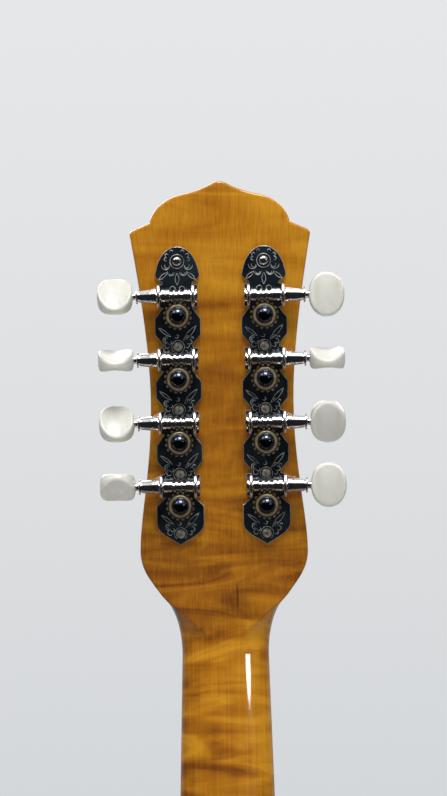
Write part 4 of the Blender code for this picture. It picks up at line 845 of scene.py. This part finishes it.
bright_ear = bpy.data.materials.new("bright_ear")
bright_ear.use_nodes = True
surface = Wire(bright_ear.node_tree)
spot = surface.node("TexCoord", output=3)
haze = surface.node("TexNoise", None, {"Vector": spot, "Scale": 250.0, "Detail": 3.0})
colour = surface.node("ValToRGB", {"stops": [(0.35, (0.74, 0.73, 0.70, 1)), (0.65, (0.86, 0.85, 0.82, 1))]}, {0: haze})
shine = bright_ear.node_tree.nodes["Principled BSDF"]
shine.inputs["Metallic"].default_value = 1.0
surface.feed(shine.inputs["Base Color"], colour)
surface.feed(shine.inputs["Roughness"], 0.16 + 0.12 * haze)

leaf = [(0, 24.85), (1.6, 24.7), (3.2, 23.9), (4.3, 23.1), (5.2, 22.1), (6.0, 20.9), (6.8, 19.3), (7.3, 17.9)]
leaf += [(7.65, 16.5), (7.95, 15.2), (8.05, 14.6), (7.8, 13.8), (6.9, 12.9), (6.1, 12.4), (5.6, 12.1)]
half = [(u, v + FIRST_POST + 3 * ROW_PITCH) for u, v in leaf]
for row in (3, 2, 1, 0):
    post = FIRST_POST + ROW_PITCH * row
    worm = post + WORM_ABOVE_POST
    half += [(5.4, worm + 4.3), (7.3, worm + 3.9), (7.3, worm - 3.9), (5.4, worm - 4.5)]
    if row:
        half += [(8.05, post - 0.9), (8.25, post - 1.3), (8.25, post - 6.8), (8.05, post - 7.3), (5.4, post - 10.6)]
    else:
        half += [(8.4, post - 0.2), (8.6, post + 0.1)]
        half += bezier((8.6, post - 6.4), (8.6, post - 10.5), (3.5, post - 12.0), (0, post - 14.6), 14) + [(0, post - 14.6)]
arch = [(3.9 * math.cos(math.pi * k / 20), 3.9 * math.sin(math.pi * k / 20)) for k in range(21)]
ear_outline = [(u * MM, v * MM) for u, v in arch + [(-3.9, -4.6), (3.9, -4.6)]]
for name, side in (("treble", 1), ("bass", -1)):
    ring = half + [(-u, v) for u, v in reversed(half[1:-1])]
    holes = [circle((side * PLATE_X * MM, (FIRST_POST + ROW_PITCH * row) * MM), 3.4 * MM, 24) for row in range(4)]
    plate = cut_sheet(
        "engraved_plate_" + name, [[((side * PLATE_X + u) * MM, v * MM) for u, v in ring]] + holes, 1.2 * MM, 0.16 * MM,
        painted_dark_plate, HEADSTOCK_TILT @ Matrix.Translation((0, (PLATE_FACE - 0.6) * MM, 0)), 1,
    )
    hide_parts("tuner_plate_" + name)
    for row in range(4):
        for spot_name, u in (("inner", -5.65), ("outer", 6.75)):
            middle = ((side * (PLATE_X + u)) * MM, WORM_DEPTH * MM, (FIRST_POST + ROW_PITCH * row + WORM_ABOVE_POST) * MM)
            stand = HEADSTOCK_TILT @ Matrix.Translation(middle) @ Matrix.Rotation(math.pi / 2, 4, "Z")
            cut_sheet(
                f"ear_{name}_{row + 1}_{spot_name}", [ear_outline, circle((0, 0), 1.8 * MM, 20)], 1.1 * MM, 0.32 * MM,
                bright_ear, stand @ Matrix.Rotation(-math.pi / 2, 4, "Y"),
            )


# Engraving: scrolls, leaves and petals cut through the plating, so the pale brass shows against the plate's
# painted-dark face.
# Each lobe has its scrolls round a plate screw, and the leaf at the top of the strip has the most.
cut_line = bpy.data.materials.new("cut_line")
cut_line.use_nodes = True
surface = Wire(cut_line.node_tree)
spot = surface.node("TexCoord", output=3)
haze = surface.node("TexNoise", None, {"Vector": spot, "Scale": 600.0, "Detail": 3.0})
colour = surface.node("ValToRGB", {"stops": [(0.38, (0.27, 0.27, 0.25, 1)), (0.62, (0.66, 0.66, 0.63, 1))]}, {0: haze})
shine = cut_line.node_tree.nodes["Principled BSDF"]
shine.inputs["Metallic"].default_value = 0.35
surface.feed(shine.inputs["Base Color"], colour)
surface.feed(shine.inputs["Roughness"], 0.35 + 0.2 * haze)


def curl(u, v, radius, start, sweep, tighten=0.5):
    points = []
    for k in range(17):
        angle = math.radians(start + sweep * k / 16)
        size = radius * (1 - tighten * k / 16)
        points.append((u + size * math.cos(angle), v + size * math.sin(angle)))
    return points


def petal(root, tip, width):
    away = Vector(tip) - Vector(root)
    aside = Vector((-away.y, away.x)).normalized() * width
    there = [k / 9 for k in range(10)]
    outward = [Vector(root) + away * t + aside * math.sin(math.pi * t) for t in there]
    return outward + [Vector(root) + away * t - aside * math.sin(math.pi * t) for t in reversed(there)]


leaf_scrolls = [curl(0, 0, 2.55, 0, 360, 0), petal((0, -4.2), (0, -8.6), 0.7)]
for flip in (-1, 1):
    for u, v, radius, start, sweep, tighten in (
        (-3.9, -1.4, 1.7, 175, 165, 0.15), (-3.5, -1.6, 1.0, 150, 230, 0.3), (-2.2, -3.9, 1.35, 160, 200, 0.1),
        (-2.1, -4.1, 0.85, 170, 200, 0.3), (-4.0, 0.9, 0.75, 300, -260, 0.5), (-3.6, 2.3, 0.8, 260, -250, 0.5),
        (-1.9, 3.6, 0.7, 200, -230, 0.5), (-1.5, -10.0, 1.35, 215, -250, 0.55),
    ):
        leaf_scrolls.append([(flip * a, b) for a, b in curl(u, v, radius, start, sweep, tighten)])
    leaf_scrolls.append([(flip * a, b) for a, b in petal((-3.5, -3.9), (-6.7, -6.6), 0.55)])
lobe_scrolls = [
    curl(0, 0, 2.3, -50, 280, 0), petal((1.9, 2.2), (6.7, 7.6), 0.75), petal((-2.6, 3.6), (-7.0, 6.9), 0.5),
    curl(-4.3, 2.4, 1.35, 60, 250, 0.35), curl(-4.2, 2.5, 0.75, 40, 230, 0.4), curl(-3.7, 0.4, 1.2, 110, 240, 0.45),
    curl(-2.9, 1.6, 0.8, 200, 210, 0.4), curl(4.3, 1.6, 1.05, 120, -260, 0.5), curl(3.3, 0.2, 0.95, 80, -230, 0.5),
    curl(5.2, 3.0, 0.6, 200, -220, 0.4), curl(3.4, 3.4, 0.6, 20, 230, 0.4), curl(-0.4, 3.9, 0.8, 210, 250, 0.5),
    curl(-4.6, -1.4, 0.8, 90, 230, 0.5), curl(-3.1, -2.1, 0.8, 60, 250, 0.5), curl(-1.2, -3.1, 0.8, 60, 240, 0.5),
    curl(1.0, -3.2, 0.8, 120, -240, 0.5), curl(2.9, -2.2, 0.8, 120, -250, 0.5), curl(4.5, -1.3, 0.7, 90, -230, 0.5),
]
SCREW_HEIGHTS = (31.5, 53.2, 76.6, 99.6, 130.5)
PLATE_TIP = FIRST_POST - 14.6
for name, side in (("treble", 1), ("bass", -1)):
    lines = bpy.data.curves.new("engraving_" + name, "CURVE")
    lines.dimensions = "3D"
    lines.bevel_depth = 0.105 * MM
    lines.bevel_resolution = 1
    for height in SCREW_HEIGHTS:
        for points in leaf_scrolls if height == SCREW_HEIGHTS[-1] else lobe_scrolls:
            # The lowest lobe runs to a tip, so it has only the scrolls that fit on it.
            room = [1.6 * (height + v - PLATE_TIP) - 0.3 - abs(u) for u, v in points]
            if min(room) < 0:
                continue
            spline = lines.splines.new("POLY")
            spline.points.add(len(points) - 1)
            for k, (u, v) in enumerate(points):
                spline.points[k].co = ((side * PLATE_X - u) * MM, PLATE_FACE * MM, (height + v) * MM, 1)
                spline.points[k].radius = 0.55 + 0.65 * math.sin(math.pi * k / (len(points) - 1))
    lines.materials.append(cut_line)
    engraving = bpy.data.objects.new("engraving_" + name, lines)
    scene.collection.objects.link(engraving)
    engraving.matrix_world = HEADSTOCK_TILT
    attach(engraving, "body")


# Plate screws: five small dome screws with crossed recesses hold each strip to the headstock.
# The top one is bright, and the others have dulled to the brown of old nickel.
old_nickel = bpy.data.materials.new("old_nickel")
old_nickel.use_nodes = True
surface = Wire(old_nickel.node_tree)
spot = surface.node("TexCoord", output=3)
haze = surface.node("TexNoise", None, {"Vector": spot, "Scale": 900.0, "Detail": 3.0})
colour = surface.node("ValToRGB", {"stops": [(0.38, (0.20, 0.18, 0.14, 1)), (0.62, (0.52, 0.49, 0.42, 1))]}, {0: haze})
shine = old_nickel.node_tree.nodes["Principled BSDF"]
shine.inputs["Metallic"].default_value = 0.6
surface.feed(shine.inputs["Base Color"], colour)
surface.feed(shine.inputs["Roughness"], 0.34 + 0.16 * haze)
dull_screw = small_screw.copy()
dull_screw.materials.clear()
dull_screw.materials.append(old_nickel)
for name, side in (("treble", 1), ("bass", -1)):
    for number, height in enumerate(SCREW_HEIGHTS):
        place = Matrix.Translation((side * PLATE_X * MM, (PLATE_FACE + 0.05) * MM, height * MM))
        lean_of_cross = Matrix.Rotation(math.radians((20, 65, 40, 5, 30)[number] * side), 4, "Y")
        used = small_screw if number == 4 else dull_screw
        put(f"plate_screw_{name}_{number + 1}", used, HEADSTOCK_TILT @ place @ lean_of_cross, "body")


# Worm shafts: turned steel, chromed. A thread in the middle of the barrel drives the gear, an end cap
# and a collar hold the shaft in its ears, and a flange stands before the button's neck.
chrome = bpy.data.materials.new("chromed_steel")
chrome.use_nodes = True
surface = Wire(chrome.node_tree)
spot = surface.node("TexCoord", output=3)
haze = surface.node("TexNoise", None, {"Vector": spot, "Scale": 250.0, "Detail": 4.0})
colour = surface.node("ValToRGB", {"stops": [(0.35, (0.66, 0.66, 0.66, 1)), (0.65, (0.80, 0.80, 0.80, 1))]}, {0: haze})
shine = chrome.node_tree.nodes["Principled BSDF"]
shine.inputs["Metallic"].default_value = 1.0
surface.feed(shine.inputs["Base Color"], colour)
surface.feed(shine.inputs["Roughness"], 0.05 + 0.10 * haze)

THREAD_PITCH = 1.9635
SHAFT_SIDES = 36
before_thread = [
    (-7.7, 0.0), (-7.7, 1.3), (-7.55, 2.0), (-7.25, 2.5), (-6.95, 2.7), (-6.5, 2.7), (-6.5, 1.5), (-4.8, 1.5),
    (-4.8, 2.25), (-4.65, 2.4), (-4.1, 2.4), (-4.0, 2.2), (-3.8, 2.2), (-3.7, 2.4), (-3.0, 2.4),
]
after_thread = [
    (3.0, 2.4), (3.9, 2.4), (4.0, 2.15), (4.2, 2.15), (4.3, 2.4), (5.75, 2.4), (5.9, 2.25), (5.9, 1.5), (7.6, 1.5),
    (7.6, 2.75), (7.75, 2.95), (8.45, 2.95), (8.55, 2.6), (8.75, 2.6), (8.85, 2.9), (9.35, 2.85), (9.5, 2.35),
    (9.75, 2.35), (9.85, 2.62), (13.7, 2.18), (13.8, 1.9), (14.2, 1.9), (14.25, 2.6), (14.35, 2.8), (14.75, 2.8),
    (14.85, 2.6), (14.9, 1.35), (15.2, 1.25), (15.8, 1.25), (16.0, 1.4), (22.0, 1.2), (22.0, 0.0),
]
threads = [(-3.0 + 6.0 * k / 54, None) for k in range(1, 54)]
work = bmesh.new()
rings = []
for x, radius in before_thread + threads + after_thread:
    ring = []
    for k in range(SHAFT_SIDES):
        angle = 2 * math.pi * k / SHAFT_SIDES
        wave = max(-1.0, min(1.0, 1.5 * math.cos(2 * math.pi * x / THREAD_PITCH + angle)))
        r = radius if radius is not None else 2.1 + 0.33 * wave * min(1.0, (3.0 - abs(x)) * 3)
        if radius is None and abs(x) > 2.67:
            r += 0.3 * (1 - (3.0 - abs(x)) * 3)
        ring.append(work.verts.new((x * MM, r * MM * math.sin(angle), -r * MM * math.cos(angle))))
    rings.append(ring)
for ring, following in zip(rings, rings[1:]):
    for k in range(SHAFT_SIDES):
        after = (k + 1) % SHAFT_SIDES
        work.faces.new((ring[k], ring[after], following[after], following[k]))
bmesh.ops.remove_doubles(work, verts=work.verts, dist=0.000001)
bmesh.ops.recalc_face_normals(work, faces=work.faces)
shaft_mesh = bpy.data.meshes.new("worm_shaft")
work.to_mesh(shaft_mesh)
work.free()
shaft_mesh.shade_smooth()
shaft_mesh.set_sharp_from_angle(angle=math.radians(32))
shaft_mesh.materials.append(chrome)
for tuner, height in POST_HEIGHTS.items():
    side = 1 if tuner[0] in "ea" else -1
    axle = Matrix.Translation((side * PLATE_X * MM, WORM_DEPTH * MM, (height + WORM_ABOVE_POST) * MM))
    outward = Matrix.Rotation(0 if side > 0 else math.pi, 4, "Z")
    shaft = put("worm_shaft_" + tuner, shaft_mesh, HEADSTOCK_TILT @ axle @ outward, tuner + "_knob")
    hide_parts(f"tuner_{tuner}_shaft")


# Buttons: oval knobs of cast ivory plastic, dished on both faces so that their ends flare.
# Each is pressed onto its shaft, and a fine grain runs along it, as in sliced celluloid.
ivory = bpy.data.materials.new("cast_ivory")
ivory.use_nodes = True
surface = Wire(ivory.node_tree)
spot = surface.node("TexCoord", output=3)
layers = surface.node("Mapping", None, {"Vector": spot, "Scale": (60, 1400, 60)})
grain = surface.node("TexNoise", None, {"Vector": layers, "Scale": 1.0, "Detail": 2.0})
colour = surface.node("ValToRGB", {"stops": [(0.35, (0.638, 0.630, 0.554, 1)), (0.65, (0.697, 0.689, 0.630, 1))]}, {0: grain})
shine = ivory.node_tree.nodes["Principled BSDF"]
surface.feed(shine.inputs["Base Color"], colour)
surface.feed(shine.inputs["Roughness"], 0.22 + 0.08 * grain)
shine.inputs["Subsurface Weight"].default_value = 0.25
shine.inputs["Subsurface Radius"].default_value = (0.003, 0.0025, 0.0018)

BUTTON_TURNS = {"e1": -57, "e2": 45, "a1": 75, "a2": 45, "g1": 0, "g2": -20, "d1": 75, "d2": 5}
SPREADS = (0.0, 0.2, 0.4, 0.58, 0.72, 0.82, 0.88, 0.92, 0.95, 0.972, 0.987, 0.996, 1.0)
work = bmesh.new()
rings = []
for face in (1, -1):
    for spread in SPREADS if face > 0 else SPREADS[-2::-1]:
        ring = []
        for k in range(64):
            angle = 2 * math.pi * k / 64
            u = math.copysign(abs(math.cos(angle)) ** 0.94, math.cos(angle)) * 6.45 * spread
            w = math.copysign(abs(math.sin(angle)) ** 0.94, math.sin(angle)) * 8.1 * spread
            thick = 2.7 + 4.6 * (u / 6.45) ** 2 + 1.6 * (1 - (w / 8.1) ** 2) * (1 - (u / 6.45) ** 2)
            rounding = max(0.0, (spread - 0.84) / 0.16)
            v = face * thick / 2 * max(0.0, 1 - rounding**2.8) ** (1 / 2.8)
            ring.append((u + 22.5, v, w))
        if spread == 0.0:
            rings.append([work.verts.new(tuple(c * MM for c in ring[0]))])
        else:
            rings.append([work.verts.new(tuple(c * MM for c in point)) for point in ring])
for ring, following in zip(rings, rings[1:]):
    for k in range(64):
        after = (k + 1) % 64
        if len(ring) == 1:
            work.faces.new((ring[0], following[after], following[k]))
        elif len(following) == 1:
            work.faces.new((ring[k], ring[after], following[0]))
        else:
            work.faces.new((ring[k], ring[after], following[after], following[k]))
bmesh.ops.recalc_face_normals(work, faces=work.faces)
button_mesh = bpy.data.meshes.new("ivory_button")
work.to_mesh(button_mesh)
work.free()
button_mesh.shade_smooth()
button_mesh.materials.append(ivory)
for tuner, height in POST_HEIGHTS.items():
    side = 1 if tuner[0] in "ea" else -1
    axle = Matrix.Translation((side * PLATE_X * MM, WORM_DEPTH * MM, (height + WORM_ABOVE_POST) * MM))
    outward = Matrix.Rotation(0 if side > 0 else math.pi, 4, "Z")
    turned = Matrix.Rotation(math.radians(BUTTON_TURNS[tuner]) * side, 4, "X")
    button = put("button_" + tuner, button_mesh, HEADSTOCK_TILT @ axle @ outward @ turned, tuner + "_knob")
    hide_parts(f"tuner_{tuner}_button")


# Worm gears: sixteen teeth cut in bronze, slanted to the worm's lead, with a raised collar round the screw.
# The tooth tips are painted lighter as a highlight, and the blank between them and the collar is painted dark brown as
# shade.
bronze = bpy.data.materials.new("cut_bronze")
bronze.use_nodes = True
surface = Wire(bronze.node_tree)
spot = surface.node("TexCoord", output=3)
haze = surface.node("TexNoise", None, {"Vector": spot, "Scale": 500.0, "Detail": 4.0})
across = surface.node("SeparateXYZ", None, {"Vector": spot}, 0)
along = surface.node("SeparateXYZ", None, {"Vector": spot}, 2)
radius = (across * across + along * along).math("SQRT")
# Painted shade in the recess between collar and tooth tips, and a painted highlight on the tips.
collar = ((4.05 * MM - radius) * 8000).clamped()
tip = ((radius - 4.55 * MM) * 2500).clamped()
painted_recess_shade = surface.node("ValToRGB", {"stops": [(0.35, (0.045, 0.030, 0.014, 1)), (0.65, (0.120, 0.080, 0.038, 1))]}, {0: haze})
bright = surface.node("ValToRGB", {"stops": [(0.35, (0.26, 0.20, 0.115, 1)), (0.65, (0.44, 0.36, 0.235, 1))]}, {0: haze})
colour = surface.node("Mix", {"data_type": "RGBA"}, {0: collar.math("MAXIMUM", tip * 0.6), 6: painted_recess_shade, 7: bright}, 2)
shine = bronze.node_tree.nodes["Principled BSDF"]
shine.inputs["Metallic"].default_value = 0.55
surface.feed(shine.inputs["Base Color"], colour)
surface.feed(shine.inputs["Roughness"], 0.30 + 0.14 * haze)

TOOTH = ((4.35, -0.5), (4.42, -0.37), (4.8, -0.22), (5.15, -0.13), (5.15, 0.13), (4.8, 0.22), (4.42, 0.37))
work = bmesh.new()
rings = []
for depth, trim, fixed in (
    (-1.3, 0, 1.85), (-1.3, 0.15, None), (-1.15, 0, None), (1.15, 0, None), (1.3, 0.15, None), (1.3, 0, 3.95),
    (1.65, 0, 3.95), (1.8, 0, 3.8), (1.8, 0, 3.3), (1.7, 0, 3.15), (1.3, 0, 3.12), (1.3, 0, 1.85),
):
    ring = []
    for tooth in range(16):
        for radius, width in TOOTH:
            angle = 2 * math.pi * (tooth + 0.5 + width) / 16 - 0.0387 * depth / 1.3
            r = fixed or radius - trim
            ring.append(work.verts.new((r * MM * math.sin(angle), depth * MM, r * MM * math.cos(angle))))
    rings.append(ring)
for ring, following in zip(rings, rings[1:] + rings[:1]):
    for k in range(len(ring)):
        after = (k + 1) % len(ring)
        work.faces.new((ring[k], ring[after], following[after], following[k]))
bmesh.ops.recalc_face_normals(work, faces=work.faces)
gear_mesh = bpy.data.meshes.new("worm_gear")
work.to_mesh(gear_mesh)
work.free()
gear_mesh.shade_smooth()
gear_mesh.set_sharp_from_angle(angle=math.radians(28))
gear_mesh.materials.append(bronze)
for tuner, height in POST_HEIGHTS.items():
    side = 1 if tuner[0] in "ea" else -1
    place = HEADSTOCK_TILT @ Matrix.Translation((side * PLATE_X * MM, WORM_DEPTH * MM, height * MM))
    gear = put("worm_gear_" + tuner, gear_mesh, place, tuner + "_roller")
    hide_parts(f"tuner_{tuner}_gear")


# Posts: turned steel with a string hole near the front end, and a polished dome screw at the back
# that holds the gear. The dome's near-black blue colour is a painted dark reflection, and the ceiling mirrors on it as
# a crescent.
post_steel = bpy.data.materials.new("post_steel")
post_steel.use_nodes = True
surface = Wire(post_steel.node_tree)
spot = surface.node("TexCoord", output=3)
haze = surface.node("TexNoise", None, {"Vector": spot, "Scale": 250.0, "Detail": 4.0})
at_back = surface.node("SeparateXYZ", None, {"Vector": spot}, 1).math("GREATER_THAN", 18.4 * MM)
front_tone = surface.node("ValToRGB", {"stops": [(0.35, (0.60, 0.58, 0.54, 1)), (0.65, (0.73, 0.71, 0.68, 1))]}, {0: haze})
# Painted dark reflection: the dome behind 18.4 mm is coloured near-black blue.
dome_dark_reflection = surface.node("ValToRGB", {"stops": [(0.35, (0.040, 0.050, 0.075, 1)), (0.65, (0.075, 0.090, 0.120, 1))]}, {0: haze})
shine = post_steel.node_tree.nodes["Principled BSDF"]
shine.inputs["Metallic"].default_value = 1.0
colour = surface.node("Mix", {"data_type": "RGBA"}, {0: at_back, 6: front_tone, 7: dome_dark_reflection}, 2)
surface.feed(shine.inputs["Base Color"], colour)
surface.feed(shine.inputs["Roughness"], 0.05 + 0.10 * haze)

head_curve = [(3.0 * math.sin(a), 21.85 + 1.95 * (math.cos(a) - math.cos(1.35)) / (1 - math.cos(1.35))) for a in
              [1.35 * k / 9 for k in range(10)]]
post_profile = head_curve + [
    (3.0, 21.8), (3.0, 21.6), (1.5, 21.6), (1.5, 18.4), (3.0, 18.4), (3.0, -13.3), (2.8, -13.8), (2.4, -14.1),
    (1.9, -14.2), (0, -14.2),
]
tool = bmesh.new()
bmesh.ops.create_cone(
    tool, cap_ends=True, segments=20, radius1=0.75 * MM, radius2=0.75 * MM, depth=12 * MM,
    matrix=Matrix.Translation((0, -11.8 * MM, 0)) @ Matrix.Rotation(math.pi / 2, 4, "Y"),
)
string_drill = bpy.data.meshes.new("string_drill")
tool.to_mesh(string_drill)
tool.free()
post_mesh = carved(lathe("string_post", post_profile, 40, post_steel), string_drill)
post_mesh.shade_smooth()
post_mesh.set_sharp_from_angle(angle=math.radians(35))
for tuner, height in POST_HEIGHTS.items():
    side = 1 if tuner[0] in "ea" else -1
    place = HEADSTOCK_TILT @ Matrix.Translation((side * PLATE_X * MM, 0, height * MM))
    post = put("string_post_" + tuner, post_mesh, place, tuner + "_roller")
    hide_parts(f"tuner_{tuner}_post")
